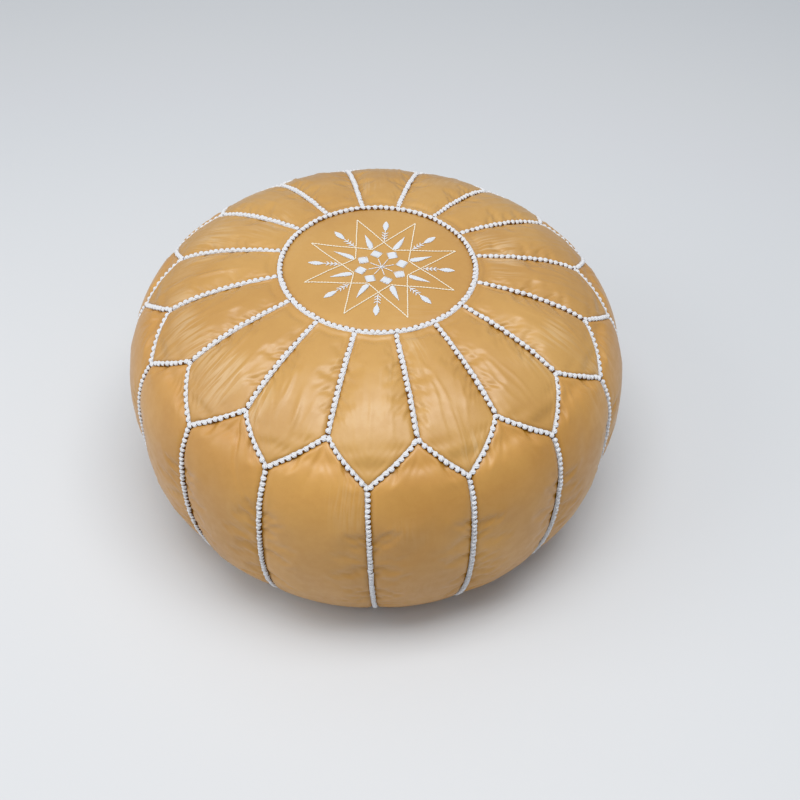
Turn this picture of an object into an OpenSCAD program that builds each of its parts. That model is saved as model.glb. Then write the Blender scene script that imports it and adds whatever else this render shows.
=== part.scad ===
// Round Moroccan floor pouf: sixteen leather petals and sixteen leather side panels around
// an embroidered medallion, joined by raised hand stitching, stuffed, and closed below by a zip.
// +Z is up. The origin is the centre of the round base, where it meets the floor.
// One petal, and the side seam below it, is centred on -Y.

/* [Body] */
// Largest radius of the stuffed leather cover
belly_r = 262; // [240:1:285]
// Height of the widest part above the floor
belly_z = 150; // [140:1:165]
// Height from the widest part up to the middle of the top
crown_h = 149; // [140:1:160]
// Radius of the flat round base
base_r = 185; // [170:1:200]
// Thickness of the leather
leather_t = 1.6; // [1.2:0.1:2]

/* [Panels] */
// Number of petals, and of side panels
petals = 16; // [12:2:16]
// Radius of the stitched ring around the medallion
ring_r = 99.5; // [95:0.5:104]
// Height of the shoulders, where two petals and one side panel meet
shoulder_z = 265.5; // [262:0.5:268]
// Height of the petals' points
point_z = 236.5; // [233:0.5:240]

/* [Stitching] */
// Radius of a raised row of stitching
stitch_r = 3.4; // [3:0.1:3.5]
// How far the middle of a row stands above the leather
stitch_lift = 0.4; // [0.3:0.1:0.6]
// Free space between a row of stitching and the edge of a panel
stitch_gap = 0.4; // [0.3:0.1:0.5]
// Thickness of the embroidery threads
embroidery_t = 0.8; // [0.6:0.1:1]
// Width of an embroidered line
line_w = 1.4; // [1.2:0.1:1.6]

/* [Stuffing] */
// Depth of the cotton bag below the leather's outside
bag_depth = 4; // [4:0.1:4.5]
// Thickness of the cotton bag
bag_t = 1; // [0.8:0.1:1.2]

/* [Zip] */
// Half of the width of the recess that the zip lies in
well_half_w = 13; // [13:0.5:15]
// Half of the length of the recess
well_half_l = 150; // [149:0.5:155]
// Place of the slider along X when the zip is closed
slider_x = -118; // [-118:0.5:-116]
// Pitch of the zip's teeth
tooth_pitch = 2.5; // [2.4:0.1:3]

/* [Hidden] */
$fn = 180;
quick_fn = 32;

function two_digits(i) = str(i < 10 ? "0" : "", i);
PETAL_NODES = [for (i = [1:petals]) str("petal_panel_", two_digits(i))];
SIDE_NODES = [for (i = [1:petals]) str("side_panel_", two_digits(i))];

// ---- turning and spacing of the pattern ----
step = 360 / petals;
half_step = step / 2;
first_petal = -90;
seam_half_w = stitch_r + stitch_gap;

// ---- outline of the stuffed cover, from the base (a = -90) to the middle of the top (a = 90) ----
// Below the belly it is a quarter of an ellipse that runs level into the flat base.
// Above it is a quarter of a superellipse of exponent 3, which gives the full, flat-topped crown.
crown_n = 3;
foot_w = belly_r - base_r;

function crown_scale(a) =
    pow(pow(cos(a) / belly_r, crown_n) + pow(sin(a) / crown_h, crown_n), -1 / crown_n);
function skin(a) = a < 0
    ? [base_r + foot_w * cos(a), belly_z + belly_z * sin(a)]
    : [crown_scale(a) * cos(a), belly_z + crown_scale(a) * sin(a)];
function outward(a) =
    let (p = skin(a), raw = a < 0
        ? [cos(a) / foot_w, sin(a) / belly_z]
        : [pow(p[0], 2) / pow(belly_r, 3), pow(p[1] - belly_z, 2) / pow(crown_h, 3)])
    raw / norm(raw);
// a point of the outline moved inwards by depth
function inset(a, depth) = skin(a) - depth * outward(a);

function crown_r_at(z) = belly_r * pow(1 - pow((z - belly_z) / crown_h, crown_n), 1 / crown_n);
function crown_z_at(r) = belly_z + crown_h * pow(1 - pow(r / belly_r, crown_n), 1 / crown_n);
function angle_at_r(r) = atan2(crown_z_at(r) - belly_z, r);
function angle_at_z(z) = atan2(z - belly_z, crown_r_at(z));

function steps(from, to, n) = [for (i = [0:n]) from + (to - from) * i / n];
function reversed(list) = [for (i = [len(list) - 1:-1:0]) list[i]];

// cross-section of a skin between two depths, from angle a0 to angle a1
module skin_band(a0, a1, n, outer, inner) {
    angles = steps(a0, a1, n);
    polygon(concat(
        [for (a = angles) inset(a, outer)],
        [for (a = reversed(angles)) inset(a, inner)]
    ));
}

// cross-section of everything deeper than depth, closed on the axis
module full_section(depth, n) {
    lower = steps(-90, 0, n);
    upper = steps(0, 90, n);
    polygon(concat(
        [[0, depth]],
        [for (a = lower) inset(a, depth)],
        [for (i = [1:n]) inset(upper[i], depth)]
    ));
}

// ---- leather panels ----
shoulder_r = crown_r_at(shoulder_z);
point_r = crown_r_at(point_z);
shoulder_u = shoulder_r * sin(half_step);
point_slope = (shoulder_z - point_z) / shoulder_u;
// height by which the edges beside a slanted row are moved to clear it
point_edge_drop = seam_half_w * 1.12;
ring_clear_r = ring_r + seam_half_w;

medallion_steps = 8;
petal_steps = 10;
side_steps = 24;
wedge_turn = step + 2;

// the V below a petal, as a tall block that runs outwards along the petal's own middle
module petal_block(drop) {
    reach = 70;
    top = 400;
    rotate([90, 0, 90])
        linear_extrude(400)
            polygon([
                [0, point_z + drop],
                [reach, point_z + drop + reach * point_slope],
                [reach, top],
                [-reach, top],
                [-reach, point_z + drop + reach * point_slope]
            ]);
}

// a wedge in plan whose sides run beside two radial seams, half_gap away from each
module wedge_plan(half_gap, from_r, to_r) {
    edge = half_gap / cos(half_step);
    polygon([
        [from_r, -(from_r * tan(half_step) - edge)],
        [to_r, -(to_r * tan(half_step) - edge)],
        [to_r, to_r * tan(half_step) - edge],
        [from_r, from_r * tan(half_step) - edge]
    ]);
}

module medallion_panel() {
    color("peru")
        rotate_extrude()
            difference() {
                skin_band(90, angle_at_r(ring_r - seam_half_w), medallion_steps, 0, leather_t);
                translate([-1, 0]) square([1, 400]);
            }
}

module petal_panel(i) {
    color("peru")
        rotate(first_petal + step * i)
            intersection() {
                rotate_extrude(angle = wedge_turn, start = -wedge_turn / 2)
                    skin_band(
                        angle_at_z(point_z), angle_at_r(ring_clear_r), petal_steps, 0, leather_t
                    );
                linear_extrude(400) wedge_plan(seam_half_w, 40, 300);
                petal_block(point_edge_drop);
            }
}

// the raised part of a side seam ends where the panels turn under, and a flat seam goes on
seam_foot_angle = -77;
seam_foot_x = (skin(seam_foot_angle)[0] - 0.75 * stitch_r) * cos(half_step);
flat_seam_half_w = 0.15;

module side_panel(i) {
    color("peru")
        rotate(first_petal + step * (i + 0.5))
            difference() {
                intersection() {
                    rotate_extrude(angle = wedge_turn, start = -wedge_turn / 2)
                        skin_band(-90, angle_at_z(shoulder_z), side_steps, 0, leather_t);
                    linear_extrude(400)
                        union() {
                            wedge_plan(seam_half_w, seam_foot_x, 300);
                            wedge_plan(flat_seam_half_w, 100, seam_foot_x + 0.1);
                        }
                }
                rotate(-half_step) petal_block(-point_edge_drop);
                rotate(half_step) petal_block(-point_edge_drop);
            }
}

// ---- base with the recess for the zip ----
well_wall = leather_t;
well_depth = 6;
well_straight = well_half_l - well_half_w;
base_gap = 0.2;

// a slot shape with round ends, grown outwards by extra
module well_plan(extra) {
    r = well_half_w + extra;
    union() {
        for (side = [-1, 1])
            translate([side * well_straight, 0]) circle(r);
        square([2 * well_straight, 2 * r], center = true);
    }
}

module base_panel() {
    color("saddlebrown")
        difference() {
            union() {
                cylinder(r = base_r - base_gap, h = leather_t);
                linear_extrude(well_depth) well_plan(well_wall);
            }
            translate([0, 0, -1])
                linear_extrude(well_depth + 2) well_plan(0);
        }
}

// ---- raised stitching ----
ring_sides = 8;

// a tube through a list of points, each with the surface's outward direction there
function tube_ring(points, normals, i, closed) =
    let (
        n = len(points),
        before = closed ? points[(i + n - 1) % n] : points[max(i - 1, 0)],
        after = closed ? points[(i + 1) % n] : points[min(i + 1, n - 1)],
        into = i == 0 && !closed ? after - points[i] : points[i] - before,
        out_of = i == n - 1 && !closed ? points[i] - before : after - points[i],
        d0 = into / norm(into),
        d1 = out_of / norm(out_of),
        along = (d0 + d1) / norm(d0 + d1),
        across_raw = cross(normals[i], along),
        across = across_raw / norm(across_raw),
        up = cross(along, across),
        mitre = stitch_r / max(0.4, d0 * along)
    )
    [for (k = [0:ring_sides - 1])
        let (turn = (k + 0.5) * 360 / ring_sides)
        points[i] + mitre * cos(turn) * across + stitch_r * sin(turn) * up];

module stitched_row(points, normals, closed = false) {
    n = len(points);
    m = ring_sides;
    rings = [for (i = [0:n - 1]) each tube_ring(points, normals, i, closed)];
    last = closed ? n - 1 : n - 2;
    walls = [for (i = [0:last]) for (k = [0:m - 1])
        [i * m + k, i * m + (k + 1) % m, ((i + 1) % n) * m + (k + 1) % m, ((i + 1) % n) * m + k]];
    ends = closed ? [] : [
        [for (k = [m - 1:-1:0]) k],
        [for (k = [0:m - 1]) (n - 1) * m + k]
    ];
    polyhedron(rings, concat(walls, ends), convexity = 4);
}

// the same place and direction in space, turned about the middle by phi
function around(rz, phi) = [rz[0] * cos(phi), rz[0] * sin(phi), rz[1]];
function lifted(a) = skin(a) + stitch_lift * outward(a);

module ring_stitching() {
    middle = lifted(angle_at_r(ring_r));
    color("white")
        rotate_extrude()
            translate(middle) circle(stitch_r, $fn = quick_fn);
}

// free lengths left at the ends of the rows, for the mitred corners of the zigzag row
ring_end_gap = 0.3;
shoulder_end_gap = 6;
point_end_gap = 5;
radial_steps = 7;
side_row_steps = 13;

// angle that a length along the outline takes up near angle a, in degrees
function turn_of(length, a) = length / norm(skin(a) - [0, belly_z]) * 180 / PI;

module radial_stitching() {
    shoulder_a = angle_at_z(shoulder_z);
    from = shoulder_a + turn_of(shoulder_end_gap, shoulder_a);
    to = angle_at_r(ring_r + stitch_r + ring_end_gap);
    angles = steps(from, to, radial_steps);
    color("white")
        for (i = [0:petals - 1])
            let (phi = first_petal + step * (i + 0.5))
            stitched_row(
                [for (a = angles) around(lifted(a), phi)],
                [for (a = angles) around(outward(a), phi)]
            );
}

module side_stitching() {
    point_a = angle_at_z(point_z);
    to = point_a - turn_of(point_end_gap, point_a);
    angles = steps(seam_foot_angle, to, side_row_steps);
    color("white")
        for (i = [0:petals - 1])
            let (phi = first_petal + step * i)
            stitched_row(
                [for (a = angles) around(lifted(a), phi)],
                [for (a = angles) around(outward(a), phi)]
            );
}

// the zigzag runs straight in each petal's own front view, from point to shoulder
point_row_steps = 4;
function zigzag_z(share) = point_z + (shoulder_z - point_z) * share;
function zigzag_turn(share) = asin(shoulder_u * share / crown_r_at(zigzag_z(share)));

module point_stitching() {
    shares = [for (j = [0:point_row_steps - 1]) j / point_row_steps];
    // turn and height of each place: up from a point to a shoulder, and down to the next point
    places = [for (i = [0:petals - 1]) each concat(
        [for (s = shares) [step * i + zigzag_turn(s), zigzag_z(s)]],
        [for (s = shares) [step * (i + 1) - zigzag_turn(1 - s), zigzag_z(1 - s)]]
    )];
    color("white")
        rotate(first_petal)
            stitched_row(
                [for (p = places) around(lifted(angle_at_z(p[1])), p[0])],
                [for (p = places) around(outward(angle_at_z(p[1])), p[0])],
                closed = true
            );
}

// ---- embroidery on the medallion ----
star_points = 8;
star_turn = 20;
star_tip_r = 81;
star_inner_r = 29.5;
thread_gap = 0.05;
embroidery_reach = 92;

// gives a flat pattern the shape of the crown and the thickness of the thread
module sewn_on() {
    color("white")
        intersection() {
            translate([0, 0, belly_z]) linear_extrude(belly_z + 50) children();
            rotate_extrude()
                difference() {
                    skin_band(90, angle_at_r(embroidery_reach), medallion_steps,
                        -thread_gap - embroidery_t, -thread_gap);
                    translate([-1, 0]) square([1, 400]);
                }
        }
}

// a straight line of thread between two points
module thread_line(p, q, w = line_w) {
    run = q - p;
    translate(p)
        rotate(atan2(run[1], run[0]))
            translate([-w / 2, -w / 2]) square([norm(run) + w, w]);
}

function at_polar(r, turn) = r * [cos(turn), sin(turn)];

// eight long points, each drawn by two lines that cross their neighbours' lines
module star_embroidery() {
    sewn_on()
        union() {
            for (i = [0:star_points - 1])
                for (side = [-1, 1])
                    let (turn = star_turn + i * 45)
                    thread_line(at_polar(star_tip_r, turn), at_polar(star_inner_r, turn + side * 45));
        }
}

diamond_turn = 15;
diamond_r = 21.6;
diamond_side = 10;
ray_end_r = 12.5;
ray_w = 1.2;

// eight squares that stand on a corner, and the thin rays that lead to them
module diamond_embroidery() {
    sewn_on()
        union() {
            circle(1.8, $fn = quick_fn);
            for (i = [0:star_points - 1])
                let (turn = diamond_turn + i * 45) {
                    thread_line([0, 0], at_polar(ray_end_r, turn), ray_w);
                    rotate(turn) translate([diamond_r, 0]) rotate(45)
                        square(diamond_side, center = true);
                }
        }
}

teardrop_from = 32;
teardrop_to = 55;
teardrop_w = 6.5;
leaf_from = 58.5;
leaf_to = 75;
leaf_w = 6.5;
stalk_turn = -2.6;
stalk_from = 42.5;
drop_points = 12;

// half-width of a drop at share s of its length: round at first, then drawn out to a point
function drop_half(s, w) = w / 2 * pow(sin(180 * sqrt(s)), 0.9);
function leaf_half(s, w) = w / 2 * pow(sin(180 * s), 0.8);

module drop(from, to, w) {
    shares = steps(0, 1, drop_points);
    inner = [for (i = [1:drop_points - 1]) shares[i]];
    polygon(concat(
        [[from, 0]],
        [for (s = inner) [from + (to - from) * s, drop_half(s, w)]],
        [[to, 0]],
        [for (s = reversed(inner)) [from + (to - from) * s, -drop_half(s, w)]]
    ));
}

module leaf(from, to, w) {
    shares = steps(0, 1, drop_points);
    inner = [for (i = [1:drop_points - 1]) shares[i]];
    polygon(concat(
        [[from, 0]],
        [for (s = inner) [from + (to - from) * s, leaf_half(s, w)]],
        [[to, 0]],
        [for (s = reversed(inner)) [from + (to - from) * s, -leaf_half(s, w)]]
    ));
}

module teardrop_embroidery() {
    sewn_on()
        for (i = [0:star_points - 1])
            rotate(star_turn + i * 45) drop(teardrop_from, teardrop_to, teardrop_w);
}

tick_places = [45, 49, 53];
tick_reach = 3.4;

// a stalk with small paired ticks and a leaf at its end, between every two star points
module leaf_embroidery() {
    sewn_on()
        union() {
            for (i = [0:star_points - 1])
                rotate(stalk_turn + i * 45) {
                    thread_line([stalk_from, 0], [leaf_from + 1, 0], ray_w);
                    leaf(leaf_from, leaf_to, leaf_w);
                    for (r = tick_places)
                        for (side = [-1, 1])
                            thread_line([r, 0], [r + tick_reach, side * tick_reach], ray_w);
                }
        }
}

// ---- zip ----
tape_t = 0.6;
tape_z = well_depth + 0.1;
tape_reach = 3.6;
tape_edge_y = 2.5;
teeth_end_x = 136;
teeth_start_x = -124;
teeth_z = 5.3;
teeth_h = 2.2;
tooth_tip_y = 0.75;
tooth_root_y = 1.9;
spine_y = 2.35;
tooth_share = 0.6;

module half_plane(side) {
    translate([-200, side > 0 ? 0.15 : -100.15]) square([400, 100]);
}

module zip_tape(side) {
    slot_from = teeth_start_x - 6;
    slot_to = teeth_end_x + 6;
    color("tan")
        translate([0, 0, tape_z])
            linear_extrude(tape_t)
                difference() {
                    intersection() {
                        well_plan(tape_reach);
                        half_plane(side);
                    }
                    translate([slot_from, -tape_edge_y])
                        square([slot_to - slot_from, 2 * tape_edge_y]);
                }
}

// a comb: a spine along the tape's edge and one tooth for each pitch
module zip_teeth(side) {
    count = floor((teeth_end_x - teeth_start_x) / tooth_pitch);
    shift = side > 0 ? 0 : tooth_pitch / 2;
    width = tooth_pitch * tooth_share;
    comb = [for (i = [0:count - 1]) each
        let (x = teeth_start_x + shift + i * tooth_pitch)
        [[x, tooth_root_y], [x, tooth_tip_y], [x + width, tooth_tip_y], [x + width, tooth_root_y]]];
    first_x = comb[0][0];
    last_x = comb[len(comb) - 1][0];
    color("goldenrod")
        translate([0, 0, teeth_z])
            linear_extrude(teeth_h)
                scale([1, side])
                    polygon(concat(comb, [[last_x, spine_y], [first_x, spine_y]]));
}

stop_l = 2.4;

module zip_top_stops() {
    color("goldenrod")
        for (side = [-1, 1])
            translate([teeth_start_x - 1 - stop_l, side > 0 ? tooth_tip_y : -spine_y, teeth_z])
                cube([stop_l, spine_y - tooth_tip_y, teeth_h]);
}

module zip_bottom_stop() {
    color("goldenrod")
        translate([teeth_end_x + 2, -spine_y, teeth_z])
            cube([stop_l * 1.5, 2 * spine_y, teeth_h]);
}

slider_half_l = 6.5;
slider_half_w = 5;
plate_t = 1;
lower_plate_z = 3.9;
upper_plate_z = 7.9;
cheek_w = 1.1;
cheek_gap = 0.3;
post_half_w = 0.45;
bridge_half_l = 3.6;
bridge_half_w = 1.3;
bridge_z = 0.8;
hinge_z = 2.4;
hinge_bore_r = 0.85;
hinge_bar_r = 0.7;

// outline of the slider's plates: straight sides that narrow towards the closed chain
module slider_plan() {
    nose = slider_half_l - 3;
    polygon([
        [-slider_half_l, -slider_half_w],
        [nose, -slider_half_w],
        [slider_half_l, -slider_half_w + 1.4],
        [slider_half_l, slider_half_w - 1.4],
        [nose, slider_half_w],
        [-slider_half_l, slider_half_w]
    ]);
}

// the raised side walls of a plate, which hold the teeth in
module slider_cheeks(z0, z1) {
    translate([0, 0, z0])
        linear_extrude(z1 - z0)
            intersection() {
                slider_plan();
                union() {
                    for (side = [-1, 1])
                        translate([0, side * (slider_half_w - cheek_w / 2)])
                            square([2 * slider_half_l, cheek_w], center = true);
                }
            }
}

module zip_slider() {
    lower_top = lower_plate_z + plate_t;
    color("goldenrod")
        translate([slider_x, 0, 0])
            difference() {
                union() {
                    translate([0, 0, lower_plate_z]) linear_extrude(plate_t) slider_plan();
                    translate([0, 0, upper_plate_z]) linear_extrude(plate_t) slider_plan();
                    slider_cheeks(lower_top - 0.2, tape_z - cheek_gap);
                    slider_cheeks(tape_z + tape_t + cheek_gap, upper_plate_z + 0.2);
                    translate([-slider_half_l, -post_half_w, lower_top - 0.2])
                        cube([4, 2 * post_half_w, upper_plate_z - lower_top + 0.4]);
                    translate([-bridge_half_l, -bridge_half_w, bridge_z])
                        cube([2 * bridge_half_l, 2 * bridge_half_w, lower_plate_z - bridge_z + 0.2]);
                }
                translate([0, 0, hinge_z]) rotate([90, 0, 0])
                    cylinder(r = hinge_bore_r, h = 4 * bridge_half_w, center = true, $fn = quick_fn);
            }
}

pull_end = 24;
pull_half_w = 3.4;
pull_t = 1.2;
pull_tab_from = 5.2;
arm_gap = 0.3;
arm_w = 1.2;

// two arms hold the cross bar in the slider's bridge, and join into one flat tab
module zip_pull() {
    arm_y = bridge_half_w + arm_gap;
    color("goldenrod")
        translate([slider_x, 0, hinge_z])
            union() {
                rotate([90, 0, 0])
                    cylinder(r = hinge_bar_r, h = 2 * (arm_y + arm_w), center = true, $fn = quick_fn);
                for (side = [-1, 1])
                    translate([0, side * (arm_y + arm_w / 2), 0]) {
                        rotate([90, 0, 0]) cylinder(r = 1, h = arm_w, center = true, $fn = quick_fn);
                        translate([0, -arm_w / 2, -pull_t / 2])
                            cube([pull_tab_from + 1, arm_w, pull_t]);
                    }
                translate([0, 0, -pull_t / 2])
                    linear_extrude(pull_t)
                        union() {
                            translate([pull_tab_from, -pull_half_w])
                                square([pull_end - pull_half_w - pull_tab_from, 2 * pull_half_w]);
                            translate([pull_end - pull_half_w, 0]) circle(pull_half_w, $fn = quick_fn);
                        }
            }
}

// ---- stuffing ----
bag_steps = 14;
zip_head_room = 10;
zip_side_room = tape_reach + 1.5;
filling_gap = 0.3;

module zip_room(extra) {
    translate([0, 0, -1])
        linear_extrude(zip_head_room + 1 + extra) well_plan(zip_side_room + extra);
}

module inner_bag() {
    color("ivory")
        difference() {
            rotate_extrude() full_section(bag_depth, bag_steps);
            difference() {
                rotate_extrude() full_section(bag_depth + bag_t, bag_steps);
                zip_room(bag_t);
            }
            zip_room(0);
        }
}

module filling() {
    inside = bag_t + filling_gap;
    color("lightgray")
        difference() {
            rotate_extrude() full_section(bag_depth + inside, bag_steps);
            zip_room(inside);
        }
}

// ---- drawing ----
medallion_panel();
for (i = [0:petals - 1])
    petal_panel(i);
for (i = [0:petals - 1])
    side_panel(i);
base_panel();
ring_stitching();
radial_stitching();
point_stitching();
side_stitching();
star_embroidery();
diamond_embroidery();
teardrop_embroidery();
leaf_embroidery();
zip_tape(1);  // zip_tape_left
zip_tape(-1);  // zip_tape_right
zip_teeth(1);  // zip_teeth_left
zip_teeth(-1);  // zip_teeth_right
zip_top_stops();
zip_bottom_stop();
zip_slider();
zip_pull();
inner_bag();
filling();
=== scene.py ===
# %% [markdown]
# # A round Moroccan leather pouf
# The pouf is a stuffed leather drum. Sixteen house-shaped petals surround a round embroidered
# medallion, and sixteen tall side panels run from the petals down to a flat base with a zip.
# Thick white cotton is sewn over every seam, so each seam is a raised row of beads.
# This lesson builds the looks around a fixed frame: the frame gives the sizes and places, and
# every new piece is worked out from them with numpy.

# %% Load the frame
import math

import bmesh
import bpy
import numpy as np
from mathutils import Matrix, Vector


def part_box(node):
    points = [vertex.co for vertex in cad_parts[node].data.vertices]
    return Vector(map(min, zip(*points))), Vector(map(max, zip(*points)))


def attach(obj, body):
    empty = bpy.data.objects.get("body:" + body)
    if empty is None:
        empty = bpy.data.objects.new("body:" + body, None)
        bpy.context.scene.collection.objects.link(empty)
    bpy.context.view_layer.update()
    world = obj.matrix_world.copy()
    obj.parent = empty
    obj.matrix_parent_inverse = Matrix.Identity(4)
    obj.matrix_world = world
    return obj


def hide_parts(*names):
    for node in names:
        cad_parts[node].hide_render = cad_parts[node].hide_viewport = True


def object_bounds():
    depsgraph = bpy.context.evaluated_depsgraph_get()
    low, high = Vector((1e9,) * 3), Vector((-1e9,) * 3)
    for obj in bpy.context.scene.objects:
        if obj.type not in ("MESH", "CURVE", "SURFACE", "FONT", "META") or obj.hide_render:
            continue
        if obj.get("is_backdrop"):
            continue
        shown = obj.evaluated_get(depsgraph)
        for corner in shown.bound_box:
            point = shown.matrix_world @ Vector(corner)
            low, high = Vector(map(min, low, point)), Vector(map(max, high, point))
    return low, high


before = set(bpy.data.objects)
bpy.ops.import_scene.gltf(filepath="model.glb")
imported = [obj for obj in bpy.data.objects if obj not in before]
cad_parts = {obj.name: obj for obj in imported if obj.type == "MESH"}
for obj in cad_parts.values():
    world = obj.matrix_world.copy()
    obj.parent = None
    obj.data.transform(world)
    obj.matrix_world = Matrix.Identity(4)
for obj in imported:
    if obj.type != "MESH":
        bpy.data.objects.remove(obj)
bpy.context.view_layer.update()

MM = 0.001
rng = np.random.default_rng(7)

# %% [markdown]
# ## Sizes from the frame
# The cover's outline is known as a formula: a quarter of a superellipse above the widest part,
# and a quarter of an ellipse below it. Most of its driving sizes are read from the frame's nodes,
# so the looks mostly follow the frame if it is built again at another size; three heights are given as
# numbers.

# %% Driving sizes


def points_of(name):
    """All the points of one frame node, as an array of rows x, y, z."""
    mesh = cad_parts[name].data
    co = np.empty(len(mesh.vertices) * 3)
    mesh.vertices.foreach_get("co", co)
    return co.reshape(-1, 3)


PETALS = sum(name.startswith("petal_panel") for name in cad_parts)
STEP = 2 * math.pi / PETALS
FIRST = -math.pi / 2  # the first petal is centred on -Y
side_points = points_of("side_panel_01")
belly_r = float(np.hypot(side_points[:, 0], side_points[:, 1]).max())
base_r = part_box("base_panel")[1].x
crown_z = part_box("medallion_panel")[1].z
ring_low, ring_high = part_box("ring_stitching")
row_r = (ring_high.z - ring_low.z) / 2
ring_r = ring_high.x - row_r
belly_z = 0.150  # height of the widest part
point_z = 0.2365  # height of the petals' points
shoulder_z = 0.2655  # height of the shoulders between the petals
print(f"belly {belly_r:.4f}  base {base_r:.4f}  crown {crown_z:.4f}  ring {ring_r:.4f}")

# %% [markdown]
# ## The camera
# The camera looks down on the pouf from the front at about 44 degrees. It is placed on a sphere
# around a point in the middle of the body, and then turned a little aside and down, so that the
# pouf stands left of the middle of the view and a little high.

# %% Camera


def aimed_camera(target, azimuth, elevation, distance, turn, tilt, roll, lens):
    """A camera on a sphere around target, turned about its own axes, all angles in degrees."""
    az, el = math.radians(azimuth), math.radians(elevation)
    back = Vector((math.sin(az) * math.cos(el), -math.cos(az) * math.cos(el), math.sin(el)))
    right = Vector((math.cos(az), math.sin(az), 0))
    axes = Matrix((right, back.cross(right), back)).transposed()
    for angle, axis, way in ((turn, 1, 1), (tilt, 0, 1), (roll, 2, -1)):
        axes = Matrix.Rotation(math.radians(way * angle), 3, axes.col[axis].copy()) @ axes
    data = bpy.data.cameras.new("camera")
    data.lens, data.sensor_width = lens, 36
    data.clip_start, data.clip_end = 0.05, 50
    camera = bpy.data.objects.new("camera", data)
    camera.matrix_world = Matrix.Translation(target + back * distance) @ axes.to_4x4()
    bpy.context.scene.collection.objects.link(camera)
    return camera


body_middle = Vector((0, 0, 0.160))
camera = aimed_camera(body_middle, azimuth=1.39, elevation=44.15, distance=1.233,
                      turn=-1.189, tilt=-1.932, roll=-0.46, lens=50)
bpy.context.scene.camera = camera
print("camera at", tuple(round(v, 3) for v in camera.matrix_world.translation))

# %% [markdown]
# ## Floor and light
# The pouf stands on a plain pale floor under soft studio light: one large window-like panel from
# the front left, one overhead and a little to the front, and a pale sky that fills the shadows.
# Large panels give the broad, soft highlights that show the leather's folds. A single lamp would
# be simpler, but its highlight on waxed leather is small and hard.

# %% Lights


def soft_panel(name, place, width, length, power):
    """A large soft white light at place, power in watts, that faces the middle of the pouf."""
    data = bpy.data.lights.new(name, "AREA")
    data.shape, data.size, data.size_y, data.energy = "RECTANGLE", width, length, power
    lamp = bpy.data.objects.new(name, data)
    lamp.location = place
    lamp.rotation_euler = (light_target - Vector(place)).to_track_quat("-Z", "Y").to_euler()
    bpy.context.scene.collection.objects.link(lamp)


light_target = Vector((0, 0, 0.15))
soft_panel("overhead_light", (0.08, -0.40, 2.1), width=1.6, length=0.8, power=33)
soft_panel("window_light", (-1.75, -0.65, 1.4), width=1.4, length=1.4, power=14)

world = bpy.data.worlds.new("sky")
bpy.context.scene.world = world
world.use_nodes = True
sky = world.node_tree.nodes["Background"].inputs
sky["Color"].default_value = (0.90, 0.94, 1.0, 1)
sky["Strength"].default_value = 0.62
bpy.context.scene.view_settings.view_transform = "Khronos PBR Neutral"
print("lights:", [lamp.name for lamp in bpy.data.lights])

# %% Floor
floor_half = 60.0  # far enough that no view from a low angle sees its edge near the pouf
floor_z = -0.2 * MM  # just under the base, which touches the plane z = 0
floor_points = np.array([[-1, -1, 0], [1, -1, 0], [1, 1, 0], [-1, 1, 0]]) * floor_half
floor_points[:, 2] = floor_z
floor_mesh = bpy.data.meshes.new("floor")
floor_mesh.from_pydata(floor_points.tolist(), [], [[0, 1, 2, 3]])
floor = bpy.data.objects.new("floor", floor_mesh)
bpy.context.scene.collection.objects.link(floor)
floor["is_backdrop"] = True
floor_paint = bpy.data.materials.new("floor_paint")
floor_paint.use_nodes = True
paint = floor_paint.node_tree.nodes["Principled BSDF"].inputs
paint["Base Color"].default_value = (0.62, 0.63, 0.64, 1)
paint["Roughness"].default_value = 0.85
floor_mesh.materials.append(floor_paint)
print("floor:", 2 * floor_half, "m across")

# %% [markdown]
# ## Putting arrays into meshes
# Every new piece is a numpy array of points and arrays of faces. One helper makes the mesh,
# smooths it, gives it a UV map where a pattern needs one, and makes it ride on its body.

# %% Mesh helpers


def grid_faces(rows, cols, wrap=False):
    """The four corners of each cell of a grid of points. wrap joins the last column to the first.
    The faces point outwards where rows run down and columns run anticlockwise seen from above."""
    i, j = np.meshgrid(np.arange(rows - 1), np.arange(cols if wrap else cols - 1), indexing="ij")
    here, beside, down = i * cols + j, i * cols + (j + 1) % cols, cols
    return np.stack([here, here + down, beside + down, beside], -1).reshape(-1, 4)


def unit(vectors):
    """Each vector at length one."""
    return vectors / np.linalg.norm(vectors, axis=-1, keepdims=True)


def merged(*shapes):
    """Several (points, list of face arrays, uv) shapes as one."""
    start, faces = 0, []
    for points, groups, _ in shapes:
        faces += [group + start for group in groups]
        start += len(points)
    points, uv = (np.concatenate([shape[part] for shape in shapes]) for part in (0, 2))
    return points, faces, uv


def mesh_piece(name, shape, material, nodes=()):
    """A smooth piece on the pouf's own body, from a (points, list of face arrays, uv) shape in
    metres. uv has a row for each point."""
    points, faces, uv = shape
    mesh = bpy.data.meshes.new(name)
    mesh.from_pydata(points.tolist(), [], [face for group in faces for face in group.tolist()])
    mesh.polygons.foreach_set("use_smooth", np.full(len(mesh.polygons), True))
    corners = np.concatenate([group.ravel() for group in faces])
    mesh.uv_layers.new(name="UVMap").data.foreach_set("uv", uv[corners].astype(np.float32).ravel())
    mesh.materials.append(material)
    mesh.update()
    piece = bpy.data.objects.new(name, mesh)
    bpy.context.scene.collection.objects.link(piece)
    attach(piece, "pouf")
    if nodes:
        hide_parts(*nodes)
    return piece


print("helpers ready: a 2 by 2 grid has the face", grid_faces(2, 2).tolist())

# %% [markdown]
# ## The outline of the cover
# The cover is a surface of revolution before its panels puff out. Its outline is worked out once
# as a fine table of distance along the leather, from the middle of the top down to the edge of
# the flat base. Everything sewn on the cover is then placed by an azimuth and that distance.

# %% Outline table


CROWN_POWER = 3  # 2 would be an ellipse, and more is flatter on top and fuller at the shoulders


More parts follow.
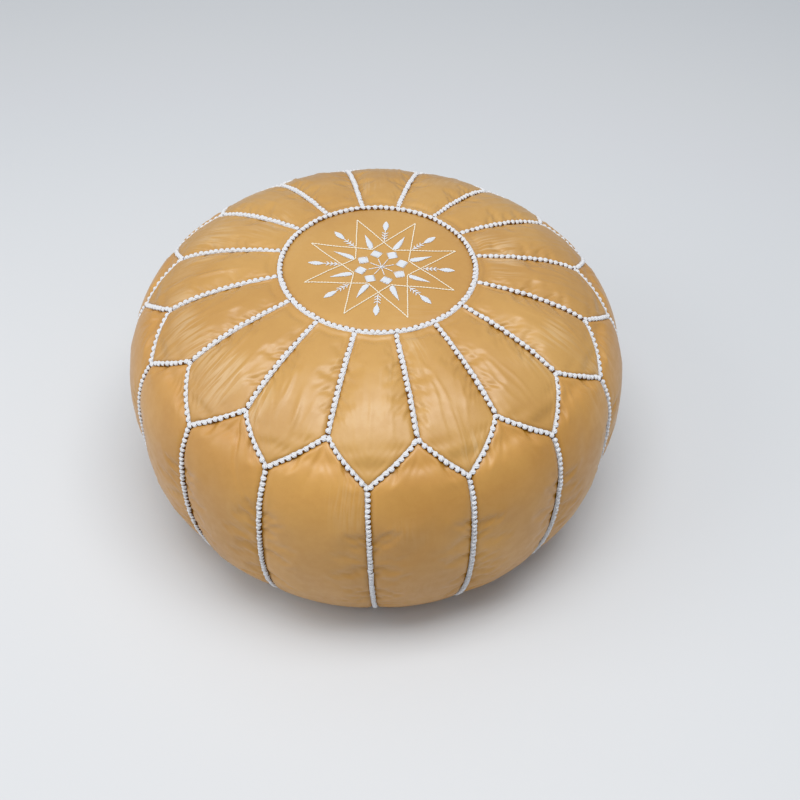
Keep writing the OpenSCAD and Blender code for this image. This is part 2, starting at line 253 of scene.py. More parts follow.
def outline_points(turn):
    """Radius and height at each turn, in radians. Above the widest part (turn > 0) it is a
    superellipse of exponent CROWN_POWER in polar form; below it, a quarter of an ellipse that
    runs level into the base."""
    crown_h, up = crown_z - belly_z, np.maximum(turn, 0)
    scale = (np.cos(up) / belly_r) ** CROWN_POWER + (np.sin(up) / crown_h) ** CROWN_POWER
    scale = scale ** (-1 / CROWN_POWER)
    top = np.stack([scale * np.cos(up), belly_z + scale * np.sin(up)], -1)
    foot = np.stack([base_r + (belly_r - base_r) * np.cos(turn), belly_z * (1 + np.sin(turn))], -1)
    return np.where(turn[:, None] > 0, top, foot)


OUTLINE_POINTS = 4001
outline = outline_points(np.linspace(math.pi / 2, -math.pi / 2, OUTLINE_POINTS))
outline_s = np.concatenate([[0], np.cumsum(np.linalg.norm(np.diff(outline, axis=0), axis=1))])
tangent = np.gradient(outline, outline_s, axis=0)
outline_n = np.stack([-tangent[:, 1], tangent[:, 0]], -1)
outline_n /= np.linalg.norm(outline_n, axis=1, keepdims=True)
belly_row = int(outline[:, 0].argmax())
base_s = float(outline_s[-1])


def on_cover(phi, s, out=0.0):
    """Points at azimuth phi and distance s from the middle of the top, moved outwards by out."""
    r, z, nr, nz = (np.interp(s, outline_s, a) for a in (*outline.T, *outline_n.T))
    r, z = r + out * nr, z + out * nz
    return np.stack([r * np.cos(phi), r * np.sin(phi), z], -1)


def outward_at(phi, s):
    """The outward direction of the cover at azimuth phi and distance s."""
    nr, nz = (np.interp(s, outline_s, a) for a in outline_n.T)
    return np.stack([nr * np.cos(phi), nr * np.sin(phi), nz], -1)


def s_at_height(z):
    """Distance from the middle of the top of a height on the crown."""
    return np.interp(-z, -outline[:belly_row, 1], outline_s[:belly_row])


def s_at_radius(r):
    """Distance from the middle of the top of a radius on the crown."""
    return np.interp(r, outline[:belly_row, 0], outline_s[:belly_row])


ring_s = float(s_at_radius(ring_r))
print(f"outline {base_s:.3f} m long, ring at {ring_s:.3f}, belly at {outline_s[belly_row]:.3f}")

# %% [markdown]
# ## The net of seams
# One net of rows and columns covers all the petals and side panels. Columns run down the pouf,
# and the middle row follows the zigzag seam below the petals, so that every seam lies on an edge
# of the net. A petal's point is straight in its own front view, which bends its two seams
# slightly on the round body. Hand work is never exact, so each seam is nudged by a millimetre
# or two.

# %% Seam net
HALF_COLS = 8  # columns in half a petal
UPPER_ROWS, LOWER_ROWS = 28, 50
cols = 2 * HALF_COLS * PETALS
column = np.arange(cols)
col_phi = FIRST + column * STEP / (2 * HALF_COLS)

heights = np.linspace(point_z, shoulder_z, 200)
shoulder_u = np.interp(s_at_height(shoulder_z), outline_s, outline[:, 0]) * math.sin(STEP / 2)
half_width = shoulder_u * (heights - point_z) / (shoulder_z - point_z)
seam_turn = np.arcsin(half_width / np.interp(s_at_height(heights), outline_s, outline[:, 0]))
from_middle = np.abs((column + HALF_COLS) % (2 * HALF_COLS) - HALF_COLS) * STEP / (2 * HALF_COLS)
zigzag_s = np.interp(from_middle, seam_turn, s_at_height(heights))


def nudged(size):
    """One small offset for each of the 32 seam lines, spread linearly over the columns between."""
    lines = rng.normal(0, size, 2 * PETALS)
    return np.interp(column / HALF_COLS, np.arange(2 * PETALS + 1), np.append(lines, lines[0]))


zigzag_s = zigzag_s + nudged(1.6 * MM)
upper, lower = np.linspace(0, 1, UPPER_ROWS + 1)[:, None], np.linspace(0, 1, LOWER_ROWS + 1)[1:, None]
net_s = np.concatenate([
    ring_s + (zigzag_s - ring_s) * upper,
    zigzag_s + (base_s - zigzag_s) * lower,
])
foot_lean = rng.normal(0, 4 * MM, 2 * PETALS)
foot_lean[[0, 2, -2]] = np.array([7, 5, -8]) * MM  # the three seams at the front lean most
foot_lean = np.interp(column / HALF_COLS, np.arange(2 * PETALS + 1), np.append(foot_lean, foot_lean[0]))
side_shift = np.concatenate([
    nudged(0.8 * MM) * (1 - upper) + nudged(1.5 * MM) * upper,
    nudged(1.5 * MM) * (1 - lower) + foot_lean * lower,
])
side_shift[UPPER_ROWS + 1:] += side_shift[UPPER_ROWS] - side_shift[UPPER_ROWS + 1]
net_phi = col_phi + side_shift / np.interp(net_s, outline_s, outline[:, 0])
shoulder_cols = (column % (2 * HALF_COLS)) == HALF_COLS
point_cols = (column % (2 * HALF_COLS)) == 0
on_seam = np.zeros(net_s.shape, bool)
on_seam[[0, UPPER_ROWS, -1]] = True
on_seam[: UPPER_ROWS + 1, shoulder_cols] = True
on_seam[UPPER_ROWS:, point_cols] = True
print("net", net_s.shape, "seam points", int(on_seam.sum()))

# %% [markdown]
# ## Stuffing the leather
# The leather is cut a little larger than its seams, and the stuffing pushes it out. The same
# thing is done here with cloth: the seams are pinned, the leather is let out by a few
# thousandths, and pressure blows the panels up, which also raises the soft folds that run into
# the seams. A displacement texture could draw such folds, but it would not know where the
# leather is tight. The result is applied, so no simulation stays on the pieces.

# %% Cloth


CLOTH_FRAMES = 26
LET_OUT = 0.024  # how much larger the leather is cut than its seams, as a share


def stuffed(points, faces, pinned):
    """The points after the stuffing has pushed the leather out. pinned points stay put."""
    mesh = bpy.data.meshes.new("stuffing")
    mesh.from_pydata(points.tolist(), [], faces.tolist())
    body = bpy.data.objects.new("stuffing", mesh)
    bpy.context.scene.collection.objects.link(body)
    pins = body.vertex_groups.new(name="seams")
    pins.add(np.flatnonzero(pinned).tolist(), 1.0, "REPLACE")
    settings = body.modifiers.new("Cloth", "CLOTH").settings
    settings.quality = 5
    settings.mass = 0.35
    settings.tension_stiffness = settings.compression_stiffness = 25
    settings.shear_stiffness = 8
    settings.bending_stiffness = 0.9
    settings.air_damping = 2
    settings.vertex_group_mass = "seams"
    settings.use_pressure = True
    settings.uniform_pressure_force = 16
    settings.shrink_min = settings.shrink_max = -LET_OUT
    settings.effector_weights.gravity = 0
    body.modifiers["Cloth"].point_cache.frame_end = CLOTH_FRAMES
    body.modifiers["Cloth"].collision_settings.use_collision = False
    for frame_number in range(1, CLOTH_FRAMES + 1):
        bpy.context.scene.frame_set(frame_number)
    shown = body.evaluated_get(bpy.context.evaluated_depsgraph_get())
    result = np.empty(len(points) * 3)
    shown.data.vertices.foreach_get("co", result)
    bpy.context.scene.frame_set(1)
    bpy.data.objects.remove(body)
    bpy.data.meshes.remove(mesh)
    return result.reshape(-1, 3)


# %% Stuff the cover
seam_depth = 1.5 * MM  # how far the seams are drawn in by the thread
start_puff = 0.5 * MM
most_puff = 11 * MM
flat_net = on_cover(net_phi, net_s, np.where(on_seam, -seam_depth, start_puff))
net_out = outward_at(net_phi, net_s)
net = stuffed(flat_net.reshape(-1, 3), grid_faces(*net_s.shape, wrap=True), on_seam.ravel())
net = net.reshape(flat_net.shape)
puff = ((net - flat_net) * net_out).sum(-1)
net -= net_out * np.maximum(puff - most_puff, 0)[..., None]
net[..., 2] = np.maximum(net[..., 2], 0)
print(f"leather stands {puff.max() / MM:.1f} mm out at most, {puff.mean() / MM:.1f} mm on average")

# %% [markdown]
# ## Puckers and creases
# The stitches gather the leather a little, so short puckers stand beside every seam. Soft leather
# that has been packed flat also keeps long shallow creases, mostly down the middle of a petal and
# fanning out below each shoulder. The stuffed net is first made three times finer by a
# Catmull-Rom curve through its rows and columns, and the folds are then added as heights.

# %% A finer net
FINE = 3


def finer(grid, closed):
    """FINE - 1 new rows between each two rows: a Catmull-Rom curve through the rows of grid."""
    if closed:
        rows = np.concatenate([grid[-1:], grid, grid[:2]])
    else:
        rows = np.concatenate([2 * grid[:1] - grid[1:2], grid, 2 * grid[-1:] - grid[-2:-1]])
    a, b, c, d = rows[:-3, None], rows[1:-2, None], rows[2:-1, None], rows[3:, None]
    t = (np.arange(FINE) / FINE).reshape(1, FINE, *[1] * (grid.ndim - 1))
    curve = b + t * (c - a + t * (2 * a - 5 * b + 4 * c - d + t * (3 * (b - c) + d - a))) / 2
    curve = curve.reshape(-1, *grid.shape[1:])
    return curve if closed else np.concatenate([curve, grid[-1:]])


def finer_net(grid):
    """A grid made finer along its rows and round its columns."""
    return finer(finer(grid, False).swapaxes(0, 1), True).swapaxes(0, 1)


skin = finer_net(net)
skin_s = finer_net(net_s)
skin_phi = np.arctan2(skin[..., 1], skin[..., 0])
skin_r = np.hypot(skin[..., 0], skin[..., 1])
half, turn_row = HALF_COLS * FINE, UPPER_ROWS * FINE
skin_rows, skin_cols = skin_s.shape
zig_row = skin_s[turn_row]
print("fine net", skin_s.shape)

# %% How far each point is from its nearest seam
slant = math.cos(math.radians(45))  # the zigzag seam runs at about 45 degrees to the rows
skin_col = np.arange(skin_cols)
to_shoulder = np.abs((skin_col % (2 * half)) - half)
to_point = half - to_shoulder
width = 2 * math.pi * skin_r / skin_cols
above = (np.arange(skin_rows) <= turn_row)[:, None]
beside_seam = np.where(above, to_shoulder, to_point) * width
beside_zigzag = np.abs(skin_s - zig_row) * slant
beside_end = np.where(above, skin_s - skin_s[0], base_s - skin_s)
from_seam = np.minimum(np.minimum(beside_seam, beside_zigzag), beside_end)
along_seam = np.where(beside_seam == from_seam, skin_s, skin_phi * skin_r / slant)
print(f"furthest from a seam: {from_seam.max() / MM:.0f} mm")

# %% Puckers beside the stitches
stitch_pitch = 6.3 * MM
petal_pucker, side_pucker, pucker_reach = 0.28 * MM, 0.2 * MM, 4.5 * MM
patch = 12  # cells of the net that are gathered alike
gather = rng.uniform(0.4, 1.0, (skin_rows // patch + 2, skin_cols // patch + 2))
gather = gather[np.arange(skin_rows)[:, None] // patch, skin_col // patch]
pucker = np.where(above, petal_pucker, side_pucker) * gather * np.exp(-from_seam / pucker_reach)
height = pucker * np.sin(math.pi * along_seam / stitch_pitch)
print(f"puckers up to {height.max() / MM:.2f} mm")

# %% Long creases


def crease(phi, s, angle, length, breadth, tall):
    """A long soft ridge (or valley, if tall is negative) centred on azimuth phi and distance s.
    Its height falls off as a Gaussian of breadth across and of length along its own direction."""
    x = (np.mod(skin_phi - phi + math.pi, 2 * math.pi) - math.pi) * skin_r
    y = skin_s - s
    along = y * math.cos(angle) + x * math.sin(angle)
    across = x * math.cos(angle) - y * math.sin(angle) + 0.06 * along * np.sin(along / length * 2)
    return tall * np.exp(-(along / length) ** 2 - (across / breadth) ** 2)


petal_length = float(zig_row.max() - skin_s[0].min())
worn = rng.uniform(0.4, 1.0, PETALS)
# the petals at the front are creased most, but for the middle one
worn[[0, 1, 2, -1, -2]] = (0.45, 1.0, 0.6, 1.0, 0.9)
RIDGES, DENTS = 10, 3  # on each petal, and below each shoulder
for petal in range(PETALS):
    middle = FIRST + petal * STEP
    for spot in rng.uniform(-0.34, 0.34, RIDGES):
        s = ring_s + petal_length * rng.uniform(0.38, 0.78)
        lean = rng.normal(-spot * 0.5, 0.10)
        size = rng.uniform(0.4, 1.0) * MM * worn[petal]
        height += crease(middle + spot * STEP, s, lean, rng.uniform(17, 30) * MM,
                         rng.uniform(1.5, 2.8) * MM, size)
    for fan in (-0.42, -0.12, 0.22, 0.5):
        lean = fan + rng.normal(0, 0.08)
        reach = rng.uniform(14, 26) * MM
        s = zig_row.min() + 9 * MM + reach * 0.8
        shift = math.tan(lean) * reach * 0.8 / belly_r
        height += crease(middle + STEP / 2 + shift, s, lean, reach, rng.uniform(2.2, 3.4) * MM,
                         -rng.uniform(0.6, 1.3) * MM * worn[petal])
    for spot in rng.uniform(-0.4, 0.4, DENTS):
        s = zig_row.max() + rng.uniform(0.03, 0.17)
        height += crease(middle + (spot + 0.5) * STEP, s, rng.normal(0, 0.25),
                         rng.uniform(25, 50) * MM, rng.uniform(5, 10) * MM,
                         rng.uniform(-0.7, 0.5) * MM)
print(f"folds from {height.min() / MM:.1f} to {height.max() / MM:.1f} mm")

# %% Fold the leather
held_reach = 2.5 * MM  # the folds die out this close to the stitches
height *= 1 - np.exp(-from_seam / held_reach)
skin_out = unit(np.cross(np.gradient(skin, axis=0), np.gradient(skin, axis=1)))
skin = skin + skin_out * height[..., None]
skin[..., 2] = np.maximum(skin[..., 2], 0)
print("leather skin:", skin.shape[0] * skin.shape[1], "points")

# %% [markdown]
# ## Helpers for materials
# A material is a small tree of nodes. These helpers add one node each and join it up, so that a
# material reads as a list of steps. An effect that several materials share is a node group.

# %% Node helpers


def add(tree, kind, inputs=(), **settings):
    """Adds a node. inputs pairs a socket's name or number with a value or another node's output."""
    made = tree.nodes.new("ShaderNode" + kind)
    for key, value in settings.items():
        setattr(made, key, value)
    for key, value in dict(inputs).items():
        if isinstance(value, bpy.types.NodeSocket):
            tree.links.new(value, made.inputs[key])
        else:
            made.inputs[key].default_value = value
    return made


def maths(tree, operation, a, b=0.5, c=0.5):
    """The output of one Math node."""
    return add(tree, "Math", {0: a, 1: b, 2: c}, operation=operation).outputs[0]


def blend_colours(tree, factor, a, b):
    """The output of one colour Mix node: a where factor is 0, and b where it is 1."""
    return add(tree, "Mix", {0: factor, 6: a, 7: b}, data_type="RGBA").outputs[2]


def ramp(tree, value, low, high, to_low=0.0, to_high=1.0):
    """Smooth step of value from low to high."""
    inputs = {0: value, 1: low, 2: high, 3: to_low, 4: to_high}
    return add(tree, "MapRange", inputs, interpolation_type="SMOOTHSTEP").outputs[0]


def new_group(name, inputs, outputs):
    """An empty node group with (name, type, value) inputs and (name, type) outputs."""
    tree = bpy.data.node_groups.new(name, "ShaderNodeTree")
    for title, kind, value in inputs:
        socket = tree.interface.new_socket(title, in_out="INPUT", socket_type="NodeSocket" + kind)
        if value is not None:
            socket.default_value = value
    for title, kind in outputs:
        tree.interface.new_socket(title, in_out="OUTPUT", socket_type="NodeSocket" + kind)
    given, result = tree.nodes.new("NodeGroupInput"), tree.nodes.new("NodeGroupOutput")
    return tree, given.outputs, result.inputs


def placed(tree, group, **inputs):
    """The outputs of a node group put into a material. inputs use _ for a space."""
    made = add(tree, "Group", node_tree=group)
    for key, value in inputs.items():
        socket = made.inputs[key.replace("_", " ")]
        if isinstance(value, bpy.types.NodeSocket):
            tree.links.new(value, socket)
        else:
            socket.default_value = value
    return made.outputs


def new_material(name):
    """A material with one Principled BSDF: its tree, shader, Object coordinates and UV."""
    material = bpy.data.materials.new(name)
    material.use_nodes = True
    tree = material.node_tree
    coordinates = add(tree, "TexCoord").outputs
    return material, tree, tree.nodes["Principled BSDF"], coordinates["Object"], coordinates["UV"]


def colour(red, green, blue):
    """A shader colour from sRGB values of 0 to 255."""
    c = np.array([red, green, blue]) / 255
    return (*np.where(c < 0.04045, c / 12.92, ((c + 0.055) / 1.055) ** 2.4).tolist(), 1.0)


print("tan leather as a shader colour:", [round(c, 3) for c in colour(184, 143, 82)])


# %% [markdown]
# ## Leather
# The cover is vegetable-tanned goatskin, dyed tan and waxed. Seen close it has fine rounded
# grain with pores; from further off its dye varies softly. Beside the stitches, where the seams
# sink into shallow valleys, it is darkened with painted shade, and along creases it is lightened
# with a painted highlight. Grain, creases, patches and seam shade are groups, because all four
# leathers use them. Grain could be a height map, but Voronoi cells give the same pattern at any
# distance.

# %% Grain
grain_group, given, result = new_group(
    "leather_grain", [("Vector", "Vector", None), ("Size", "Float", 1.1)],
    [("Height", "Float"), ("Pores", "Float")])
g = grain_group
per_metre = maths(g, "DIVIDE", 1000, given["Size"])
bent = add(g, "TexNoise", {"Vector": given["Vector"], "Scale": 500, "Detail": 1}).outputs["Color"]
warp = add(g, "VectorMath", {0: bent, "Scale": 0.0008}, operation="SCALE").outputs[0]
place = add(g, "VectorMath", {0: given["Vector"], 1: warp}, operation="ADD").outputs[0]
cells = add(g, "TexVoronoi", {"Vector": place, "Scale": per_metre}, feature="SMOOTH_F1")
cells = cells.outputs["Distance"]
pores_per_metre = maths(g, "MULTIPLY", per_metre, 0.45)
pores = add(g, "TexVoronoi", {"Vector": place, "Scale": pores_per_metre}).outputs["Distance"]
pore_mask = ramp(g, pores, 0.0, 0.16, 1.0, 0.0)
dome = maths(g, "SUBTRACT", 1.0, maths(g, "POWER", cells, 2.0))
g.links.new(maths(g, "SUBTRACT", dome, maths(g, "MULTIPLY", pore_mask, 0.5)), result["Height"])
g.links.new(pore_mask, result["Pores"])
print("group:", g.name)

# %% Creases
crease_group, given, result = new_group(
    "leather_creases", [("UV", "Vector", None), ("Across", "Float", 150.0), ("Along", "Float", 10.0)],
    [("Height", "Float"), ("Mask", "Float")])
g = crease_group
parts = add(g, "SeparateXYZ", {0: given["UV"]}).outputs
slow = add(g, "TexNoise", {"Vector": given["UV"], "Scale": 16, "Detail": 1}).outputs["Fac"]
bend = maths(g, "MULTIPLY_ADD", slow, 0.008, parts[0])
stretched = add(g, "CombineXYZ", {0: maths(g, "MULTIPLY", bend, given["Across"]),
                                  1: maths(g, "MULTIPLY", parts[1], given["Along"])}).outputs[0]
ridges = add(g, "TexNoise", {"Vector": stretched, "Scale": 1, "Detail": 3, "Roughness": 0.5})
ridges = ridges.outputs["Fac"]
ridge = ramp(g, maths(g, "ABSOLUTE", maths(g, "SUBTRACT", ridges, 0.5)), 0.0, 0.09, 1.0, 0.0)
creased_parts = add(g, "TexNoise", {"Vector": given["UV"], "Scale": 12, "Detail": 1}).outputs["Fac"]
masked = maths(g, "MULTIPLY", ridge, ramp(g, creased_parts, 0.52, 0.72))
g.links.new(maths(g, "MULTIPLY", masked, ridges), result["Height"])
g.links.new(masked, result["Mask"])
print("group:", g.name)

# %% Colour patches and seam shade
patch_group, given, result = new_group(
    "colour_patches", [("Vector", "Vector", None), ("Scale", "Float", 9.0)],
    [("Broad", "Float"), ("Mottle", "Float")])
g = patch_group
small = maths(g, "MULTIPLY", given["Scale"], 11.0)
broad = add(g, "TexNoise", {"Vector": given["Vector"], "Scale": given["Scale"], "Detail": 2})
mottle = add(g, "TexNoise", {"Vector": given["Vector"], "Scale": small, "Detail": 4, "Roughness": 0.6})
g.links.new(ramp(g, broad.outputs["Fac"], 0.3, 0.7), result["Broad"])
g.links.new(ramp(g, mottle.outputs["Fac"], 0.3, 0.7), result["Mottle"])

# Painted shade: seam_shade darkens the leather in the shallow valley beside each seam, out to Reach.
shade_group, given, result = new_group(
    "seam_shade", [("Distance", "Float", 0.05), ("Vector", "Vector", None), ("Reach", "Float", 0.007)],
    [("Shade", "Float")])
g = shade_group
uneven = add(g, "TexNoise", {"Vector": given["Vector"], "Scale": 120, "Detail": 2}).outputs["Fac"]
reach = maths(g, "MULTIPLY", given["Reach"], maths(g, "ADD", uneven, 0.5))
g.links.new(ramp(g, maths(g, "DIVIDE", given["Distance"], reach), 0.0, 1.0, 1.0, 0.0), result["Shade"])
print("node groups so far:", [group.name for group in bpy.data.node_groups])

# %% Leather material


def leather(name, tan, dark, pale, gloss, grain_size, creased, crease_highlight):
    """Waxed leather: tan varies towards dark in patches of dye and by painted shade beside seams,
    and towards pale by a painted highlight along creases, as much as crease_highlight. gloss is
    its roughness where it is smooth, grain_size is in millimetres, and creased is the creases' height
    in metres."""
    broad, mottled, shaded, pored = 0.30, 0.10, 0.38, 0.22  # how far each effect darkens the colour; shaded is the painted shade beside the seams
    material, tree, shader, place, uv = new_material(name)
    patches = placed(tree, patch_group, Vector=place, Scale=9.0)
    grain = placed(tree, grain_group, Vector=place, Size=grain_size)
    creases = placed(tree, crease_group, UV=uv)
    distance = add(tree, "Attribute", attribute_name="from_seam").outputs["Fac"]
    seam = placed(tree, shade_group, Distance=distance, Vector=place)["Shade"]
    shade = blend_colours(tree, maths(tree, "MULTIPLY", patches["Broad"], broad), tan, dark)
    shade = blend_colours(tree, maths(tree, "MULTIPLY", patches["Mottle"], mottled), shade, dark)
    # painted highlight: the creases are lightened towards pale
    shade = blend_colours(tree, maths(tree, "MULTIPLY", creases["Mask"], crease_highlight), shade, pale)
    # painted shade: beside the seams the leather is darkened towards dark
    shade = blend_colours(tree, maths(tree, "MULTIPLY", seam, shaded), shade, dark)
    shade = blend_colours(tree, maths(tree, "MULTIPLY", grain["Pores"], pored), shade, dark)
    tree.links.new(shade, shader.inputs["Base Color"])
    rough = maths(tree, "MULTIPLY_ADD", patches["Mottle"], 0.12, gloss)
    rough = maths(tree, "MULTIPLY_ADD", seam, 0.10, rough)
    tree.links.new(maths(tree, "MULTIPLY_ADD", grain["Pores"], 0.2, rough), shader.inputs["Roughness"])
    folds = add(tree, "Bump", {"Strength": 1.0, "Distance": creased, "Height": creases["Height"]})
    fine = add(tree, "Bump", {"Strength": 0.35, "Distance": 0.00012, "Height": grain["Height"],
                              "Normal": folds.outputs[0]})
    tree.links.new(fine.outputs[0], shader.inputs["Normal"])
    shader.inputs["Specular IOR Level"].default_value = 0.45
    shader.inputs["Coat Weight"].default_value = 0.6
    shader.inputs["Coat Roughness"].default_value = 0.42
    return material


top_tan, side_tan = colour(184, 143, 82), colour(192, 145, 79)
dark_tan, crease_highlight_tan = colour(146, 98, 44), colour(226, 206, 172)
top_leather = leather("leather_top", top_tan, dark_tan, crease_highlight_tan, gloss=0.42, grain_size=1.1,
                      creased=0.4 * MM, crease_highlight=0.28)
side_leather = leather("leather_side", side_tan, dark_tan, crease_highlight_tan, gloss=0.44, grain_size=1.2,
                       creased=0.08 * MM, crease_highlight=0.08)
print("leathers:", top_leather.name, side_leather.name)

# %% [markdown]
# ## Petals and side panels
# Each petal and each side panel is its own piece of leather. It is cut out of the fine net
# between its seams, given the leather's thickness inwards, and put in place of its solid.

# %% Cut the panels
leather_t = 1.6 * MM


def panel(name, rows, first_col, material, node):
    """The part of the fine net between two seam columns and two rows, as one thick panel."""
    picked = (first_col + np.arange(2 * half + 1)) % skin_cols
    cut = np.ix_(rows, picked)
    middle = float(skin_phi[rows[0], picked[half]])
    u = (np.mod(skin_phi[cut] - middle + math.pi, 2 * math.pi) - math.pi) * skin_r[cut]
    u = u + 0.7 * (first_col / skin_cols)  # each panel is cut from another part of the hide
    uv = np.stack([u, skin_s[cut]], -1).reshape(-1, 2)
    shape = (skin[cut].reshape(-1, 3), [grid_faces(len(rows), len(picked))], uv)
    piece = mesh_piece(name, shape, material, nodes=[node])
    near = piece.data.attributes.new("from_seam", "FLOAT", "POINT")
    near.data.foreach_set("value", from_seam[cut].astype(np.float32).ravel())
    wall = piece.modifiers.new("thickness", "SOLIDIFY")
    wall.thickness, wall.offset = leather_t, -1
    return piece


upper_rows, lower_rows = np.arange(turn_row + 1), np.arange(turn_row, skin_rows)
for petal in range(PETALS):
    two = f"{petal + 1:02d}"
    panel(f"petal_{two}", upper_rows, (2 * petal - 1) * half, top_leather,
          f"petal_panel_{two}")
    panel(f"side_{two}", lower_rows, 2 * petal * half, side_leather,
          f"side_panel_{two}")
print("panels:", 2 * PETALS)

# %% [markdown]
# ## Sweeping a profile along rows
# Threads, cords and ridges are all tubes. One function sweeps an ellipse along many rows of
# stations at once. Each tube's first point lies at the bottom, so the join of its UV is hidden.

# %% Tubes


def tubes(centre, across, out, wide, tall, sides, closed=False):
    """Tubes through rows of stations (rows, stations, 3). At each station an ellipse is drawn:
    centre + wide cos(turn) across + tall sin(turn) out. Open tubes get flat caps."""
    rows, stations = centre.shape[:2]
    turn = -math.pi / 2 + 2 * math.pi * np.arange(sides) / sides
    wide, tall = np.broadcast_to(wide, (rows, stations)), np.broadcast_to(tall, (rows, stations))
    ring = (wide[..., None] * np.cos(turn))[..., None] * across[:, :, None]
    ring = ring + (tall[..., None] * np.sin(turn))[..., None] * out[:, :, None] + centre[:, :, None]
    k, i, j = np.meshgrid(np.arange(rows), np.arange(stations if closed else stations - 1),
                          np.arange(sides), indexing="ij")
    start, after = (k * stations + i) * sides, (k * stations + (i + 1) % stations) * sides
    beside = (j + 1) % sides
    faces = [np.stack([start + j, start + beside, after + beside, after + j], -1).reshape(-1, 4)]
    if not closed:
        first = np.arange(rows)[:, None] * stations * sides + np.arange(sides)
        faces += [first[:, ::-1], first + (stations - 1) * sides]
    u = np.broadcast_to(np.arange(sides) / sides, (rows, stations, sides))
    steps = np.linalg.norm(np.diff(centre, axis=1), axis=2)
    v = np.concatenate([np.zeros((rows, 1)), np.cumsum(steps, axis=1)], 1)
    uv = np.stack([u, np.broadcast_to(v[..., None], u.shape)], -1)
    return ring.reshape(-1, 3), faces, uv.reshape(-1, 2)


def along_path(path, out, places):
    """Centre, direction, sideways and outward vectors at the distances places along a path, and
    the path's whole length."""
    near = 1.2 * MM
    run = np.concatenate([[0], np.cumsum(np.linalg.norm(np.diff(path, axis=0), axis=1))])

    def at(values, where):
        return np.stack([np.interp(where, run, v) for v in values.T], -1)

    ahead = unit(at(path, places + near) - at(path, places - near))
    across = unit(np.cross(at(out, places), ahead))
    return at(path, places), ahead, across, np.cross(ahead, across), run[-1]


line = np.linspace([0.0, 0, 0], [1.0, 0, 0], 5)[None]
y_axis, z_axis = np.broadcast_to([0.0, 1, 0], line.shape), np.broadcast_to([0.0, 0, 1], line.shape)
print("a tube of 5 stations and 6 sides:", len(tubes(line, y_axis, z_axis, MM, MM, 6)[0]), "points")


# %% [markdown]
# ## Stitches over the seams
# The seams stand up as narrow ridges, and thick white cotton is worked over them by hand. Each
# turn of the thread lies as a round bead across the ridge. The thread that runs from one bead to
# the next makes a smooth line along one side, and on the other side the ridge, painted dark brown
# as the shade in the notches, shows between the beads. The beads are modelled one by one, as copies
# of one small shape with slightly different sizes and turns, because that unevenness is what makes the
# work look sewn.

# %% Rows to sew
row_lift = seam_depth + 0.4 * MM
lowest_stitch = 4.2 * MM  # the side rows end where the leather turns under
skin_base = finer_net(flat_net)
row_out = outward_at(skin_phi, skin_s)


def seam_path(rows, col):
    """The line of a seam through the fine net, at the middle of its row of stitches, and its
    outward directions there."""
    return skin_base[rows, col] + row_lift * row_out[rows, col], row_out[rows, col]


def closed_path(path, out):
    """A closed line with a few of its own points added after its end."""
    return np.concatenate([path, path[:2]]), np.concatenate([out, out[:2]])


shoulder_seams = half * (2 * np.arange(PETALS) + 1)
point_seams = half * 2 * np.arange(PETALS)
ring_row = [closed_path(*seam_path(0, skin_col))]
zigzag_row = [closed_path(*seam_path(turn_row, skin_col))]
radial_rows = [seam_path(upper_rows, col) for col in shoulder_seams]
side_rows = [seam_path(lower_rows[skin_base[lower_rows, col, 2] > lowest_stitch], col)
             for col in point_seams]
print("rows to sew:", len(ring_row + zigzag_row + radial_rows + side_rows))

# %% One bead
BEAD_SIDES, BEAD_RINGS = 8, 5


def bead_shape():
    """A unit bead: x = -cos(lat) along the thread, and a circle of radius sin(lat)^0.8 around it."""
    lat = np.linspace(0, math.pi, BEAD_RINGS + 2)[1:-1]
    turn = -math.pi / 2 + 2 * math.pi * np.arange(BEAD_SIDES) / BEAD_SIDES
    radius = np.sin(lat) ** 0.8
    rings = np.stack([np.repeat(-np.cos(lat)[:, None], BEAD_SIDES, 1),
                      radius[:, None] * np.cos(turn), radius[:, None] * np.sin(turn)], -1)
    co = np.concatenate([[[-1, 0, 0]], rings.reshape(-1, 3), [[1, 0, 0]]])
    i, j = np.meshgrid(np.arange(BEAD_RINGS - 1), np.arange(BEAD_SIDES), indexing="ij")
    start, beside = 1 + i * BEAD_SIDES, (j + 1) % BEAD_SIDES
    quads = np.stack([start + j, start + beside], -1)
    quads = np.concatenate([quads, quads[..., ::-1] + BEAD_SIDES], -1)
    ring, after = np.arange(BEAD_SIDES), (np.arange(BEAD_SIDES) + 1) % BEAD_SIDES
    last = 1 + (BEAD_RINGS - 1) * BEAD_SIDES
    start_cap = np.stack([np.zeros(BEAD_SIDES, int), 1 + after, 1 + ring], -1)
    end_cap = np.stack([np.full(BEAD_SIDES, len(co) - 1), last + ring, last + after], -1)
    u = np.concatenate([[0], np.tile(np.arange(BEAD_SIDES) / BEAD_SIDES, BEAD_RINGS), [0]])
    uv = np.stack([u, (co[:, 0] + 1) / 2], -1)
    return co, quads.reshape(-1, 4), np.concatenate([start_cap, end_cap]), uv


bead_co, bead_quads, bead_ends, bead_uv = bead_shape()
print("a bead has", len(bead_quads) + len(bead_ends), "faces")

# %% Rows of beads
bead_w, bead_l, bead_h = 2.65, 0.48, 2.8  # half sizes: mm across, share of the pitch, mm high


def copies(co, centre, axes, size):
    """Copies of a small shape: centre + co scaled by size, along the three rows of axes."""
    return np.einsum("kpi,kij->kpj", co[None] * size[:, None], axes) + centre[:, None]


